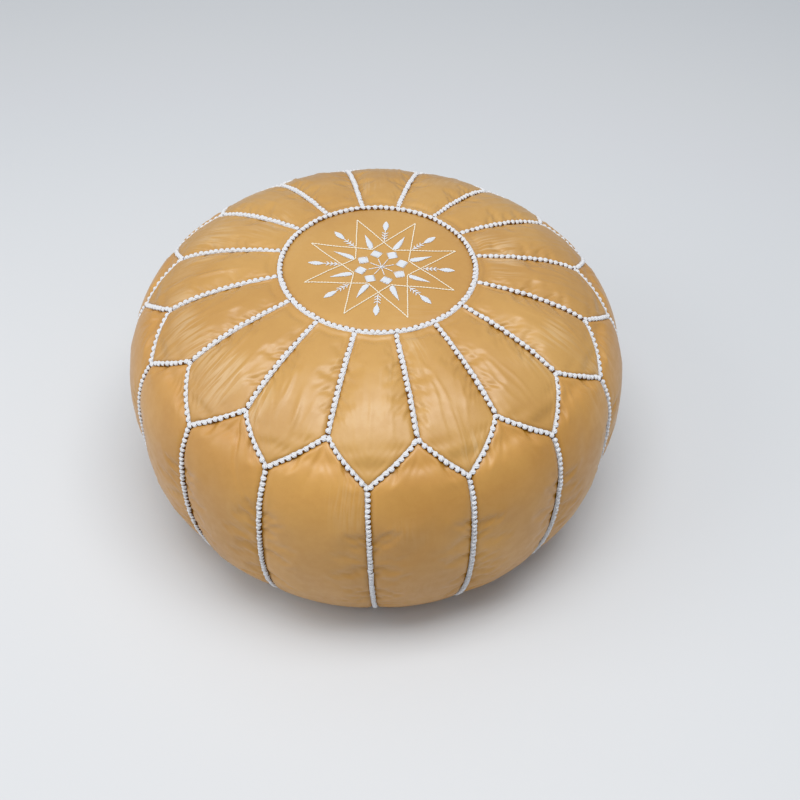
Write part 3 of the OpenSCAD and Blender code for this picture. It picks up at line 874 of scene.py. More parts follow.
def beads(path, out, slant, start, end, pitch):
    """A row of beads along a path, pitch apart, each turned by slant about the outward direction."""
    length = along_path(path, out, np.zeros(1))[4]
    amount = max(2, round((length - start - end) / pitch))
    places = start + (length - start - end) * (np.arange(amount) + 0.5) / amount
    places = places + rng.normal(0, 0.25 * MM, amount)
    centre, ahead, across, up, _ = along_path(path, out, places)
    turn = slant + rng.normal(0, 0.12, amount)[:, None]
    long = np.cos(turn) * across + np.sin(turn) * ahead
    short = np.cos(turn) * ahead - np.sin(turn) * across
    size = np.stack([rng.normal(bead_w, 0.16, amount),
                     rng.normal(bead_l, 0.02, amount) * pitch / MM,
                     rng.normal(bead_h, 0.14, amount)], -1) * MM
    centre = centre + across * rng.normal(0, 0.25 * MM, (amount, 1))
    centre = centre + up * rng.normal(0, 0.12 * MM, (amount, 1))
    co = copies(bead_co, centre, np.stack([long, -short, up], 1), size)
    first = (np.arange(amount) * len(bead_co))[:, None, None]
    faces = [(bead_quads + first).reshape(-1, 4), (bead_ends + first).reshape(-1, 3)]
    uv = bead_uv + np.stack([np.zeros(amount), rng.uniform(0, 1, amount)], -1)[:, None] * [0, 0.2]
    return co.reshape(-1, 3), faces, uv.reshape(-1, 2)


# %% Spines, wraps and ridges
LINE_SIDES, WRAP_SIDES = 6, 10
wrap_radius, rib, rib_pitch = 2.45, 0.16, 1.35 * MM  # the radius and the ribs' height are in mm


def line_along(path, out, spacing, shift, lift, radius, start=0.0, end=0.0, wave=0.0):
    """A thread along a path, shifted sideways and outwards, which swings by wave at each stitch."""
    length = along_path(path, out, np.zeros(1))[4]
    places = np.linspace(start, length - end, max(4, round((length - start - end) / spacing)))
    centre, _, across, up, _ = along_path(path, out, places)
    swing = (shift + wave * np.sin(2 * math.pi * places / stitch_pitch))[:, None]
    centre = centre + across * swing + up * lift
    return tubes(centre[None], across[None], up[None], radius, radius, LINE_SIDES)


def wrapped_end(path, out, length):
    """The end of a row where the thread is wound tight: a tapering tube with a rib for each turn."""
    total = along_path(path, out, np.zeros(1))[4]
    places = np.arange(total - length, total, 0.45 * MM)
    centre, _, across, up, _ = along_path(path, out, places)
    share = (places - places[0]) / length
    radius = (wrap_radius - 0.5 * share ** 3 + rib * np.cos(2 * math.pi * places / rib_pitch)) * MM
    radius[-3:] *= (0.9, 0.7, 0.35)
    return tubes(centre[None], across[None], up[None], radius[None], radius[None], WRAP_SIDES)


# %% [markdown]
# ## Cotton thread
# The thread is thick bleached cotton of several twisted strands. The strands are a sine wave that
# winds round each tube in its own UV map, and loose fibres are a fine noise. The grooves between
# the strands are darkened with painted shade. The thread is matt, very slightly cool, and greyer
# where hands have touched it.

# %% Thread material
strand_group, given, result = new_group(
    "thread_strands", [("UV", "Vector", None), ("Strands", "Float", 3.0), ("Turns", "Float", 200.0)],
    [("Height", "Float")])
g = strand_group
parts = add(g, "SeparateXYZ", {0: given["UV"]}).outputs
round_it = maths(g, "MULTIPLY", parts[0], given["Strands"])
wound = maths(g, "ADD", round_it, maths(g, "MULTIPLY", parts[1], given["Turns"]))
wave = maths(g, "SINE", maths(g, "MULTIPLY", wound, 2 * math.pi))
g.links.new(maths(g, "ABSOLUTE", wave), result["Height"])


def cotton(name, white, shade_and_grime, strands, turns, depth):
    """Twisted cotton: strands wind round the UV map's first axis, turns times for each unit of
    the second. depth is the height of a strand in metres."""
    material, tree, shader, place, uv = new_material(name)
    strand = placed(tree, strand_group, UV=uv, Strands=strands, Turns=turns)["Height"]
    patches = placed(tree, patch_group, Vector=place, Scale=14.0)
    fibres = add(tree, "TexNoise", {"Vector": place, "Scale": 2600, "Detail": 2}).outputs["Fac"]
    # painted shade: the grooves between the strands are darkened towards shade_and_grime
    groove_shade = maths(tree, "MULTIPLY", ramp(tree, strand, 0.0, 0.6, 1.0, 0.0), 0.75)
    shade = blend_colours(tree, groove_shade, white, shade_and_grime)
    # greyer in random patches, where hands have touched the thread
    shade = blend_colours(tree, maths(tree, "MULTIPLY", patches["Mottle"], 0.25), shade, shade_and_grime)
    tree.links.new(shade, shader.inputs["Base Color"])
    tree.links.new(maths(tree, "MULTIPLY_ADD", fibres, 0.2, 0.7), shader.inputs["Roughness"])
    round_strands = add(tree, "Bump", {"Strength": 0.7, "Distance": depth, "Height": strand})
    fuzz = add(tree, "Bump", {"Strength": 0.5, "Distance": 0.0001, "Height": fibres,
                              "Normal": round_strands.outputs[0]})
    tree.links.new(fuzz.outputs[0], shader.inputs["Normal"])
    shader.inputs["Sheen Weight"].default_value = 0.25
    shader.inputs["Sheen Roughness"].default_value = 0.5
    return material


bead_thread = cotton("bead_thread", colour(234, 236, 240), colour(170, 164, 158), strands=3,
                     turns=1.0, depth=0.8 * MM)

# %% Leather in the ridges
# The ridges are painted dark brown: painted shade of the deep notches between the beads, where the
# leather itself is tan.
ridge_in_painted_shade, tree, shader, place, _ = new_material("ridge_in_painted_shade")
grain = placed(tree, grain_group, Vector=place, Size=0.9)
pored = maths(tree, "MULTIPLY", grain["Pores"], 0.5)
shade = blend_colours(tree, pored, colour(92, 58, 28), colour(52, 32, 16))
tree.links.new(shade, shader.inputs["Base Color"])
tree.links.new(maths(tree, "MULTIPLY_ADD", grain["Pores"], 0.15, 0.6), shader.inputs["Roughness"])
bump = add(tree, "Bump", {"Strength": 0.5, "Distance": 0.0002, "Height": grain["Height"]})
tree.links.new(bump.outputs[0], shader.inputs["Normal"])
print("materials:", bead_thread.name, ridge_in_painted_shade.name)

# %% Sew the rows
left, right = 1, -1  # the side of a row that its spine runs on, seen along the row


def sewn_rows(name, rows, node, spine_side, slant, pitch=stitch_pitch, start=0.0, end=0.0,
              spine=1.0 * MM, wrap=(0, 0)):
    """All the rows of one kind as one piece: beads, a spine along one side, a core that fills
    the gaps under the beads, and wrapped ends. spine is the spine's radius."""
    shapes = []
    for path, out in rows:
        wound = rng.uniform(*wrap)
        shapes.append(beads(path, out, slant, start, end + wound, pitch))
        shapes.append(line_along(path, out, 2 * MM, spine_side * 1.75 * MM, -0.3 * MM, spine,
                                 start, end + wound, wave=0.3 * MM))
        shapes.append(line_along(path, out, 3 * MM, 0.5 * spine_side * MM, 0, 1.4 * MM,
                                 start, end + wound))
        if wound:
            shapes.append(wrapped_end(path, out, wound + 2 * MM))
    shape = merged(*shapes)
    mesh_piece(name, shape, bead_thread, nodes=[node])
    print(name, sum(len(group) for group in shape[1]), "faces")


sewn_rows("ring_stitches", ring_row, "ring_stitching", right, 0.25, spine=1.4 * MM)
sewn_rows("radial_stitches", radial_rows, "radial_stitching", left, -0.3,
          start=3.4 * MM, end=2.8 * MM)
sewn_rows("point_stitches", zigzag_row, "point_stitching", left, 0.3)
sewn_rows("side_stitches", side_rows, "side_stitching", right, 0.3, pitch=5.6 * MM,
          start=2.8 * MM, wrap=(0.014, 0.045))

# %% The ridges under the rows
ridges = [line_along(path, out, 3 * MM, 0, -1.3 * MM, 2.5 * MM) for path, out in
          ring_row + radial_rows + zigzag_row + side_rows]
mesh_piece("seam_ridges", merged(*ridges), ridge_in_painted_shade)
print("ridges:", len(ridges))

# %% [markdown]
# ## The medallion
# The round top piece is soft: its edge dips under the ring of stitches, which gather it slightly,
# and its middle has sunk by a few millimetres. Its height above the frame's crown is one formula
# of azimuth and distance, so the embroidery can be laid on exactly the same surface.

# %% Medallion surface


middle_sink = 4 * MM


def medallion_out(phi, s):
    """How far the medallion stands out of the crown: from minus seam_depth at its edge up to a low
    rim, with gathers beside the stitches and soft dents. Its middle has sunk by middle_sink."""
    inwards = ring_s - s
    x, y = s * np.cos(phi), s * np.sin(phi)
    rise = (seam_depth + 2.2 * MM) * (1 - np.exp(-inwards / (8 * MM))) - seam_depth
    rise = rise - middle_sink * (1 - (s / ring_s) ** 2)
    gathers = 0.30 * np.exp(-inwards / (5 * MM)) * np.sin(phi * ring_r * math.pi / stitch_pitch)
    dents = 0.35 * np.sin(61 * x + 0.7 * np.sin(83 * y)) * np.sin(47 * y + 1.1)
    dents = dents + 0.25 * np.sin(118 * x - 76 * y)
    return rise + (gathers + dents * np.clip(inwards / (15 * MM), 0, 1)) * MM


def on_medallion(x, y, above=0.0):
    """Points of the medallion at plan position x, y, moved outwards by above."""
    phi, s = np.arctan2(y, x), s_at_radius(np.hypot(x, y))
    return on_cover(phi, s, medallion_out(phi, s) + above)


# %% The medallion's leather
disc_rows, disc_cols = 66, 240
disc_phi = 2 * math.pi * np.arange(disc_cols) / disc_cols
disc_s = ring_s * np.linspace(0, 1, disc_rows + 1)[1:, None]
disc_phi, disc_s = np.broadcast_arrays(disc_phi, disc_s)
disc = on_cover(disc_phi, disc_s, medallion_out(disc_phi, disc_s)).reshape(-1, 3)
pole = on_cover(np.zeros(1), np.zeros(1), medallion_out(np.zeros(1), np.zeros(1)))
fan = np.arange(disc_cols)
fan = np.stack([np.full(disc_cols, len(disc)), fan, (fan + 1) % disc_cols], -1)
disc = np.concatenate([disc, pole])
shape = (disc, [grid_faces(disc_rows, disc_cols, wrap=True), fan], disc[:, [1, 0]])
disc_leather = leather("leather_medallion", top_tan, dark_tan, crease_highlight_tan, gloss=0.42,
                       grain_size=1.1, creased=0.03 * MM, crease_highlight=0.05)
medallion = mesh_piece("medallion", shape, disc_leather, nodes=["medallion_panel"])
near = medallion.data.attributes.new("from_seam", "FLOAT", "POINT")
near.data.foreach_set("value", np.append(ring_s - disc_s, ring_s).astype(np.float32))
wall = medallion.modifiers.new("thickness", "SOLIDIFY")
wall.thickness, wall.offset = leather_t, -1
print("medallion", len(disc), "points, centre at", round(float(pole[0, 2]), 4))

# %% [markdown]
# ## Embroidery
# The star is drawn with single lines of cream stitches, and the white diamonds, teardrops and
# leaves are filled with satin stitch: threads laid side by side from edge to edge of the shape.
# Every stitch is its own little tube, thinner at its ends where it dives into the leather, and
# bent over the medallion. A flat patch with a drawn pattern would be lighter, but would not catch
# the light along the threads.

# %% Threads on the medallion


star_middle = np.array([3.5, -2.5]) * MM  # hand work: the star is a little off the medallion's middle


def laid_threads(start, end, radius, above, arch):
    """Stitches from start to end, (stitches, 2) plan positions from the star's middle. Each is a
    tube of five stations that rises by arch in its middle and thins to a third at its ends."""
    share = np.linspace(0, 1, 5)
    plan = star_middle + start[:, None] + (end - start)[:, None] * share[:, None]
    lift = above + np.broadcast_to(arch, (len(start),))[:, None] * np.sin(math.pi * share)
    centre = on_medallion(plan[..., 0], plan[..., 1], lift)
    away = s_at_radius(np.hypot(plan[..., 0], plan[..., 1]))
    out = outward_at(np.arctan2(plan[..., 1], plan[..., 0]), away)
    across = unit(np.cross(out, (centre[:, -1] - centre[:, 0])[:, None]))
    thin = np.array([0.35, 0.9, 1.0, 0.9, 0.35]) * np.broadcast_to(radius, (len(start),))[:, None]
    return tubes(centre, across, out, thin, 0.8 * thin, 5)


back_stitch = 3.2 * MM


def stitched_line(start, end, radius):
    """A line of back stitches: each starts a little before the last one ends."""
    length = math.dist(start, end)
    amount = max(1, round(length / back_stitch))
    cuts = np.linspace(0, 1, amount + 1)[:, None]
    line = np.array(start) + (np.array(end) - np.array(start)) * cuts
    side = unit(np.array([start[1] - end[1], end[0] - start[0]]))
    wander = rng.normal(0, 0.10 * MM, (amount + 1, 1)) * side
    return laid_threads((line + wander)[:-1] - 0.1 * (line[1] - line[0]), (line + wander)[1:], radius,
                        0.35 * MM, 0.25 * MM)


def satin_fill(from_edge, to_edge, pad):
    """Satin stitch: threads side by side between matching points of two edges. pad is how much
    the middle of the shape stands up over its edges."""
    middle = np.sin(math.pi * (np.arange(len(from_edge)) + 0.5) / len(from_edge))
    length = np.linalg.norm(to_edge - from_edge, axis=1)
    jitter = rng.normal(0, 0.16 * MM, (len(from_edge), 2))
    return laid_threads(from_edge + jitter, to_edge - jitter, 0.42 * MM * (0.7 + 0.3 * middle),
                        0.35 * MM, pad * middle * np.clip(length / (6 * MM), 0.2, 1).mean())


def turned(pattern, angle):
    """Plan positions turned about the middle by angle, in degrees."""
    a = math.radians(angle)
    return pattern @ np.array([[math.cos(a), math.sin(a)], [-math.sin(a), math.cos(a)]])


def polar(radius, angle):
    """The plan position at a radius and an angle in degrees."""
    return np.array([radius * math.cos(math.radians(angle)), radius * math.sin(math.radians(angle))])


# %% Star, rays and stalks
STAR_POINTS = 8
eighths = 45.0 * np.arange(STAR_POINTS)
star_turn, star_tip, star_inner = 20, 81 * MM, 29.5 * MM
line_radius = 0.62 * MM
star = [stitched_line(polar(star_tip, star_turn + a), polar(star_inner, star_turn + a + side * 45),
                      line_radius) for a in eighths for side in (-1, 1)]
fine_radius = 0.5 * MM
diamond_turn, diamond_r, diamond_side = 15, 21.6 * MM, 10 * MM
ray_start, ray_end = 1.5 * MM, 13.5 * MM
rays = [stitched_line(polar(ray_start, diamond_turn + a), polar(ray_end, diamond_turn + a), fine_radius)
        for a in eighths]
stalk_turn, stalk_from, leaf_from, leaf_to, leaf_w = -2.6, 42.5 * MM, 58.5 * MM, 75 * MM, 6.5 * MM
ticks, tick_reach = np.array([45, 49, 53]) * MM, 3.4 * MM
foot = np.repeat(ticks, 2)
tip = np.stack([foot + tick_reach, np.tile([1, -1], 3) * tick_reach], -1)
foot = np.stack([foot, 0 * foot], -1)
twigs = []
for a in stalk_turn + eighths:
    twigs.append(stitched_line(polar(stalk_from, a), polar(leaf_from + 1 * MM, a), fine_radius))
    twigs.append(laid_threads(turned(foot, a), turned(tip, a), fine_radius, 0.45 * MM, 0.2 * MM))
print("star lines:", len(star), "rays:", len(rays), "stalks:", len(twigs) // 2)

# %% Satin shapes


def satin_rows(length, spacing=0.62 * MM):
    """Shares from 0 to 1 of the threads' places over a length."""
    return (np.arange(round(length / spacing)) + 0.5) / round(length / spacing)


# %% Diamonds and knot
share = satin_rows(diamond_side)[:, None]
corner = diamond_side / 2
row = np.concatenate([corner * (2 * share - 1), -corner * np.ones_like(share)], 1)
diamond_from = turned(row, 45) + [diamond_r, 0]
diamond_to = turned(row * [1, -1], 45) + [diamond_r, 0]
diamonds = [satin_fill(turned(diamond_from, diamond_turn + a), turned(diamond_to, diamond_turn + a),
                       0.5 * MM) for a in eighths]
knot_r = 1.7 * MM
knot = [laid_threads(polar(knot_r, a)[None], polar(knot_r, a + 180)[None], 0.55 * MM, 0.5 * MM,
                     0.5 * MM) for a in (0, 60, 120)]
print("diamonds:", len(diamonds), "of", len(diamond_from), "threads")

# %% Teardrops and leaves
drop_from, drop_to, drop_w = 32 * MM, 55 * MM, 6.5 * MM
share = satin_rows(drop_to - drop_from)
half_drop = drop_w / 2 * np.sin(math.pi * np.sqrt(share)) ** 0.9
drop_x = drop_from + (drop_to - drop_from) * share
drop_upper = np.stack([drop_x - 0.8 * half_drop, half_drop], -1)
drop_lower = np.stack([drop_x, -half_drop], -1)
drops = [satin_fill(turned(drop_upper, star_turn + a), turned(drop_lower, star_turn + a), 0.7 * MM)
         for a in eighths]
share = satin_rows(leaf_to - leaf_from)
half_leaf = leaf_w / 2 * np.sin(math.pi * share) ** 0.8
leaf_x = leaf_from + (leaf_to - leaf_from) * share
leaf_upper = np.stack([leaf_x, half_leaf], -1)
leaf_lower = leaf_upper * [1, -1]
leaves = [satin_fill(turned(leaf_upper, stalk_turn + a), turned(leaf_lower, stalk_turn + a), 0.6 * MM)
          for a in eighths]
print("satin threads:", STAR_POINTS * (len(diamond_from) + len(drop_x) + len(leaf_x)))

# %% Make the embroidery
strand_h = 0.15 * MM
fine_thread = cotton("fine_thread", colour(250, 243, 224), colour(216, 200, 170), 2, 900, strand_h)
satin_thread = cotton("satin_thread", colour(238, 242, 248), colour(196, 200, 206), 2, 900, strand_h)
for name, shapes, thread, node in (
        ("star_lines", star, fine_thread, "star_embroidery"),
        ("diamonds", diamonds + rays + knot, satin_thread, "diamond_embroidery"),
        ("teardrops", drops, satin_thread, "teardrop_embroidery"),
        ("leaves", leaves + twigs, satin_thread, "leaf_embroidery")):
    piece = mesh_piece(name, merged(*shapes), thread, nodes=[node])
    print(name, len(piece.data.polygons), "faces")

# %% [markdown]
# ## The base
# A single round of thicker, duller leather closes the bottom. It lies flat on the floor, its rim
# is puckered where the side panels are sewn to it, and it folds up into a long slot, where the
# zip sits clear of the floor. The sheet is a grid between two closed lines, the round rim and
# the slot, and goes on up the slot's wall.

# %% Base surface
well_half_w, well_half_l = 13 * MM, 150 * MM  # the slot that the zip lies in
BASE_COLS, BASE_ROWS = 480, 46
RIM_GATHERS = 88


def slot_line(extra, amount):
    """Points round a slot with round ends, grown outwards by extra, evenly spaced along two half
    circles and two straight lines, from +X anticlockwise."""
    radius, straight = well_half_w + extra, well_half_l - well_half_w
    arc, line = math.pi * radius, 2 * straight
    at = (np.arange(amount) / amount * (2 * arc + 2 * line) + arc / 2) % (2 * arc + 2 * line)
    turn = np.where(at < arc, at / radius - math.pi / 2, (at - arc - line) / radius + math.pi / 2)
    parts = [at < arc, at < arc + line, at < 2 * arc + line]
    round_x, round_y = radius * np.cos(turn), radius * np.sin(turn)
    x = np.select(parts, [straight + round_x, straight - (at - arc), -straight + round_x],
                  -straight + (at - 2 * arc - line))
    y = np.select(parts, [round_y, np.full(amount, radius), round_y], -radius)
    return np.stack([x, y], -1)


rim_turn = np.unwrap(np.arctan2(*slot_line(30 * MM, BASE_COLS).T[::-1]))
rim_r = base_r + 0.6 * MM
rim = rim_r * np.stack([np.cos(rim_turn), np.sin(rim_turn)], -1)
share = np.linspace(0, 1, BASE_ROWS)[:, None, None]
lip = slot_line(1.2 * MM, BASE_COLS)
flat = rim + (lip - rim) * share ** 0.9
x, y = flat[..., 0], flat[..., 1]
from_rim = rim_r - np.hypot(x, y)
ahead = np.maximum(np.abs(x) - (well_half_l - well_half_w), 0)
from_slot = np.hypot(ahead, y) - well_half_w
turn = np.arctan2(y, x)
gathers = 1 + np.sin(turn * RIM_GATHERS + 2 * np.sin(turn * 5))
gathers = 0.55 * gathers * np.exp(-from_rim / (7 * MM))
soft = 0.5 * (1 + np.sin(40 * x + 3 * np.sin(31 * y)) * np.sin(36 * y + 2 * np.sin(23 * x)))
soft = soft * np.clip(from_slot / (20 * MM), 0, 1) * np.clip(from_rim / (20 * MM), 0, 1) * 0.5
beside_zip = 0.9 * np.exp(-((from_slot - 5 * MM) / (6 * MM)) ** 2)
rise = (gathers + soft + beside_zip + 0.5 * np.exp(-from_rim / (1.5 * MM))) * MM
sheet = np.concatenate([flat, rise[..., None]], -1)

# %% The slot's wall
fold = np.linspace(0, 1, 7)[1:]
wall_out = np.concatenate([1.2 * (1 - fold) ** 2, np.zeros(6), [0.5, 2.0, 4.2]]) * MM
lip_z = rise[-1].mean()
fold_z = lip_z + (1.4 * MM - lip_z) * fold ** 1.5
wall_z = np.concatenate([fold_z, np.linspace(1.9, 5.4, 6) * MM, [5.8 * MM, 5.95 * MM, 5.95 * MM]])
wall_rows = [np.concatenate([slot_line(extra, BASE_COLS), np.full((BASE_COLS, 1), z)], -1)
             for extra, z in zip(wall_out, wall_z)]
sheet = np.concatenate([sheet, np.stack(wall_rows)])
print("base", sheet.shape, "slot wall", len(wall_rows), "rows")

# %% The base's leather
base_leather = leather("leather_base", colour(172, 124, 70), colour(112, 74, 38),
                       colour(206, 172, 126), gloss=0.58, grain_size=1.5, creased=0.5 * MM,
                       crease_highlight=0.16)
faces = grid_faces(len(sheet), BASE_COLS, wrap=True)
uv = sheet[..., :2].reshape(-1, 2) * [0.35, 1]
shape = (sheet.reshape(-1, 3), [faces], uv)
base = mesh_piece("base", shape, base_leather, nodes=["base_panel"])
edge = np.minimum(from_rim, np.abs(from_slot))
edge = np.concatenate([edge, np.full((len(wall_rows), BASE_COLS), 2 * MM)])
near = base.data.attributes.new("from_seam", "FLOAT", "POINT")
near.data.foreach_set("value", edge.astype(np.float32).ravel())
wall = base.modifiers.new("thickness", "SOLIDIFY")
wall.thickness, wall.offset = 1.2 * MM, -1
print("base:", len(base.data.polygons), "faces")

# %% [markdown]
# ## Stitches round the zip
# Two rows of strong thread run round the slot and hold the zip's tapes to the leather. Each stitch
# is a short tube that dips into the leather at both ends.

# %% Zip topstitching


SLOT_SAMPLES = 6000
long_stitch, stitch_gap, stitch_dip, stitch_z = 4.2 * MM, 1.2 * MM, 0.55 * MM, 0.55 * MM


def topstitches(extra):
    """A row of stitches round the slot, extra outside its edge. Each follows the slot's line and
    dips by stitch_dip at its ends, as one minus half a sine wave."""
    around = slot_line(extra, SLOT_SAMPLES)
    length = 2 * (2 * (well_half_l - well_half_w) + math.pi * (well_half_w + extra))
    amount = round(length / (long_stitch + stitch_gap))
    first = (np.arange(amount) * SLOT_SAMPLES / amount).astype(int)
    share = np.linspace(0, 1, 5)
    picked = first[:, None] + (share * SLOT_SAMPLES * long_stitch / length).astype(int)
    picked = picked % SLOT_SAMPLES
    z = stitch_z + stitch_dip * (1 - np.sin(math.pi * share))
    centre = np.concatenate([around[picked], np.broadcast_to(z, picked.shape)[..., None]], -1)
    out = np.broadcast_to([0.0, 0, -1], centre.shape)
    across = unit(np.cross(out, (centre[:, -1] - centre[:, 0])[:, None]))
    return tubes(centre, across, out, 0.45 * MM, 0.35 * MM, 6)


tan_thread = cotton("tan_thread", colour(214, 180, 128), colour(140, 100, 58), 2, 600, strand_h)
rows = merged(topstitches(3.2 * MM), topstitches(6.4 * MM))
mesh_piece("zip_topstitching", rows, tan_thread)
print("topstitches:", len(rows[1][1]))

# %% [markdown]
# ## The zip
# A brass zip closes the base, so that the stuffing can be put in. Two woven tapes carry the teeth,
# which lock between one another along the middle. A tooth is a short bar with a rounded head that
# is clamped over the tape's edge. The slider, its pull and the stops are the frame's own shapes
# with their edges rounded, because cast metal has no sharp edges.

# %% Brass
brass, tree, shader, place, _ = new_material("brass")
patches = placed(tree, patch_group, Vector=place, Scale=160.0)
scratched = add(tree, "Mapping", {0: place, 3: (300, 4200, 2600)}).outputs[0]
scratches = add(tree, "TexNoise", {"Vector": scratched, "Scale": 1, "Detail": 3}).outputs["Fac"]
tarnish = maths(tree, "MULTIPLY", patches["Broad"], 0.6)
shade = blend_colours(tree, tarnish, colour(214, 172, 94), colour(146, 104, 48))
bright = maths(tree, "MULTIPLY", ramp(tree, scratches, 0.55, 0.7), 0.35)
shade = blend_colours(tree, bright, shade, colour(240, 212, 150))
tree.links.new(shade, shader.inputs["Base Color"])
tree.links.new(maths(tree, "MULTIPLY_ADD", patches["Mottle"], 0.22, 0.24), shader.inputs["Roughness"])
bump = add(tree, "Bump", {"Strength": 0.25, "Distance": 0.00004, "Height": scratches})
tree.links.new(bump.outputs[0], shader.inputs["Normal"])
shader.inputs["Metallic"].default_value = 1.0
print("material:", brass.name)

# %% [markdown]
# ## Woven cloth
# The zip's tapes and the bag inside are plain-woven cotton: each thread passes over one and under
# the next. The weave is made of sine waves in two directions, which a cosine swaps over, so it
# needs no UV map and its threads have a real size.

# %% Weave
weave_group, given, result = new_group(
    "cloth_weave", [("Vector", "Vector", None), ("Threads", "Float", 2000.0)],
    [("Height", "Float"), ("Over", "Float")])
g = weave_group
parts = add(g, "SeparateXYZ", {0: given["Vector"]}).outputs
warp_phase = maths(g, "MULTIPLY", maths(g, "MULTIPLY", parts[0], given["Threads"]), math.pi)
weft_place = maths(g, "ADD", parts[1], parts[2])
weft_phase = maths(g, "MULTIPLY", maths(g, "MULTIPLY", weft_place, given["Threads"]), math.pi)
warp_h = maths(g, "ABSOLUTE", maths(g, "SINE", warp_phase))
weft_h = maths(g, "ABSOLUTE", maths(g, "SINE", weft_phase))
over = maths(g, "MULTIPLY", maths(g, "COSINE", warp_phase), maths(g, "COSINE", weft_phase))
over = ramp(g, over, -0.4, 0.4)
height_out = add(g, "Mix", {0: over, 2: warp_h, 3: weft_h}, data_type="FLOAT").outputs[0]
g.links.new(height_out, result["Height"])
g.links.new(over, result["Over"])
print("group:", g.name)

# %% Tape and calico


def woven(name, light, dark, threads, depth):
    """Plain-woven cotton: threads a metre each way, light on the raised threads and darkened with
    painted shade between them. depth is the height of a thread in metres."""
    material, tree, shader, place, _ = new_material(name)
    weave = placed(tree, weave_group, Vector=place, Threads=threads)
    patches = placed(tree, patch_group, Vector=place, Scale=20.0)
    # painted shade: the cloth is darker between the raised threads
    shade = blend_colours(tree, ramp(tree, weave["Height"], 0.0, 0.7), dark, light)
    shade = blend_colours(tree, maths(tree, "MULTIPLY", weave["Over"], 0.12), shade, dark)
    shade = blend_colours(tree, maths(tree, "MULTIPLY", patches["Mottle"], 0.3), shade, dark)
    tree.links.new(shade, shader.inputs["Base Color"])
    rough = maths(tree, "MULTIPLY_ADD", patches["Mottle"], 0.1, 0.85)
    tree.links.new(rough, shader.inputs["Roughness"])
    bump = add(tree, "Bump", {"Strength": 0.8, "Distance": depth, "Height": weave["Height"]})
    tree.links.new(bump.outputs[0], shader.inputs["Normal"])
    shader.inputs["Sheen Weight"].default_value = 0.2
    return material


tape_cloth = woven("tape_cloth", colour(150, 112, 70), colour(92, 64, 38), 2400, 0.15 * MM)
calico = woven("calico", colour(232, 222, 200), colour(196, 184, 158), 1600, 0.3 * MM)
print("materials:", tape_cloth.name, calico.name)

# %% [markdown]
# ## Stuffing
# The bag is packed with cotton waste, which is a tangle of short fibres with no pattern. A noise
# with much detail that is bent by its own value gives such a tangle. The tapes, the bag and the
# stuffing keep the frame's own shapes, because they are simple or out of sight.

# %% Wadding
wadding, tree, shader, place, _ = new_material("wadding")
fibre = add(tree, "TexNoise", {"Vector": place, "Scale": 260, "Detail": 6, "Distortion": 1.4})
fibre = fibre.outputs["Fac"]
shade = blend_colours(tree, fibre, colour(206, 200, 190), colour(240, 237, 230))
tree.links.new(shade, shader.inputs["Base Color"])
tree.links.new(maths(tree, "MULTIPLY_ADD", fibre, 0.1, 0.88), shader.inputs["Roughness"])
bump = add(tree, "Bump", {"Strength": 1.0, "Distance": 0.002, "Height": fibre})
tree.links.new(bump.outputs[0], shader.inputs["Normal"])


def refinish(node, material):
    """A frame node keeps its shape and gets a better material."""
    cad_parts[node].data.materials.clear()
    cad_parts[node].data.materials.append(material)


for node, material in (("zip_tape_left", tape_cloth), ("zip_tape_right", tape_cloth),
                       ("inner_bag", calico), ("filling", wadding)):
    refinish(node, material)
print("refinished: tapes, inner bag, filling")

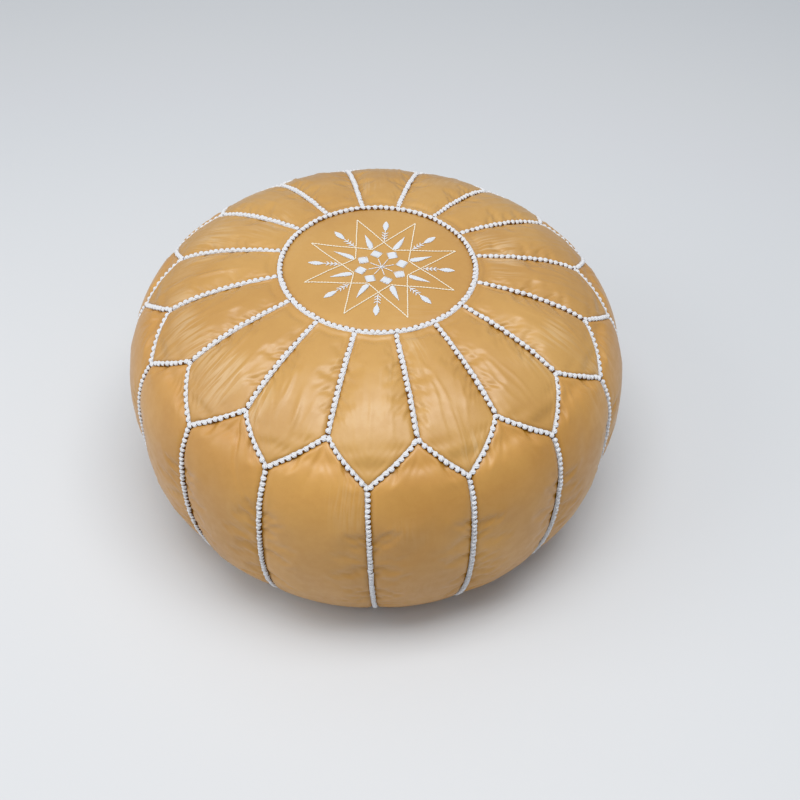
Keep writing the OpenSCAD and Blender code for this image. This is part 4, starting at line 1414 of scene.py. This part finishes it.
# %% Teeth
# The tooth's stations run from the tape's edge to its rounded head, just past the middle line.
tooth_pitch, tape_z = 2.5 * MM, 6.4 * MM
tooth_y = np.array([2.35, 2.2, 1.2, 0.5, -0.1, -0.45]) * MM
tooth_wide = np.array([0.45, 0.56, 0.56, 0.52, 0.48, 0.28]) * MM
tooth_tall = np.array([0.75, 1.1, 1.1, 0.95, 0.8, 0.45]) * MM
cord_y, cord_wide, cord_tall, TOOTH_SIDES = 2.5 * MM, 0.55 * MM, 0.65 * MM, 8
for side, word in ((1, "left"), (-1, "right")):
    low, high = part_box(f"zip_teeth_{word}")
    x = np.arange(low.x + 0.5 * tooth_pitch, high.x, tooth_pitch)
    centre = np.stack(np.broadcast_arrays(x[:, None], side * tooth_y[None], tape_z), -1)
    out = np.broadcast_to([0.0, 0, -1], centre.shape)
    across = np.broadcast_to([-float(side), 0, 0], centre.shape)
    teeth = tubes(centre, across, out, tooth_wide, tooth_tall, TOOTH_SIDES)
    x_cord = np.linspace(low.x, high.x, 80)
    spine = np.stack(np.broadcast_arrays(x_cord, side * cord_y, tape_z), -1)[None]
    out = np.broadcast_to([0.0, 0, -1], spine.shape)
    across = np.broadcast_to([0.0, 1, 0], spine.shape)
    cord = tubes(spine, across, out, cord_wide, cord_tall, TOOTH_SIDES)
    mesh_piece(f"teeth_{word}", teeth, brass, nodes=[f"zip_teeth_{word}"])
    mesh_piece(f"tape_cord_{word}", cord, tape_cloth)
print("teeth:", 2 * len(x))

# %% Rounded metal parts


def rounded(name, node, body, edge):
    """A frame node's own shape in brass, with its loose triangles merged into flat faces and its
    edges rounded to the radius edge."""
    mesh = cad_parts[node].data.copy()
    mesh.name = name
    shape = bmesh.new()
    shape.from_mesh(mesh)
    bmesh.ops.remove_doubles(shape, verts=shape.verts, dist=1e-6)
    bmesh.ops.dissolve_limit(shape, angle_limit=math.radians(2), verts=shape.verts, edges=shape.edges)
    shape.to_mesh(mesh)
    shape.free()
    mesh.polygons.foreach_set("use_smooth", np.full(len(mesh.polygons), True))
    mesh.materials.clear()
    mesh.materials.append(brass)
    piece = bpy.data.objects.new(name, mesh)
    bpy.context.scene.collection.objects.link(piece)
    bevel = piece.modifiers.new("rounded edges", "BEVEL")
    bevel.width, bevel.segments = edge, 3
    bevel.limit_method, bevel.angle_limit = "ANGLE", math.radians(32)
    bevel.harden_normals = True
    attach(piece, body)
    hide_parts(node)
    print(name, len(mesh.polygons), "faces before rounding")


rounded("slider", "zip_slider", "zip_slider", 0.22 * MM)
rounded("pull", "zip_pull", "zip_pull", 0.22 * MM)
rounded("top_stops", "zip_top_stops", "pouf", 0.25 * MM)
rounded("bottom_stop", "zip_bottom_stop", "pouf", 0.3 * MM)

# %% [markdown]
# ## Sizes and the end
# The size of the finished looks is printed.

# %% Write the sizes and finish
low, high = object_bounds()
print("size of the looks", [round(b - a, 4) for a, b in zip(low, high)])
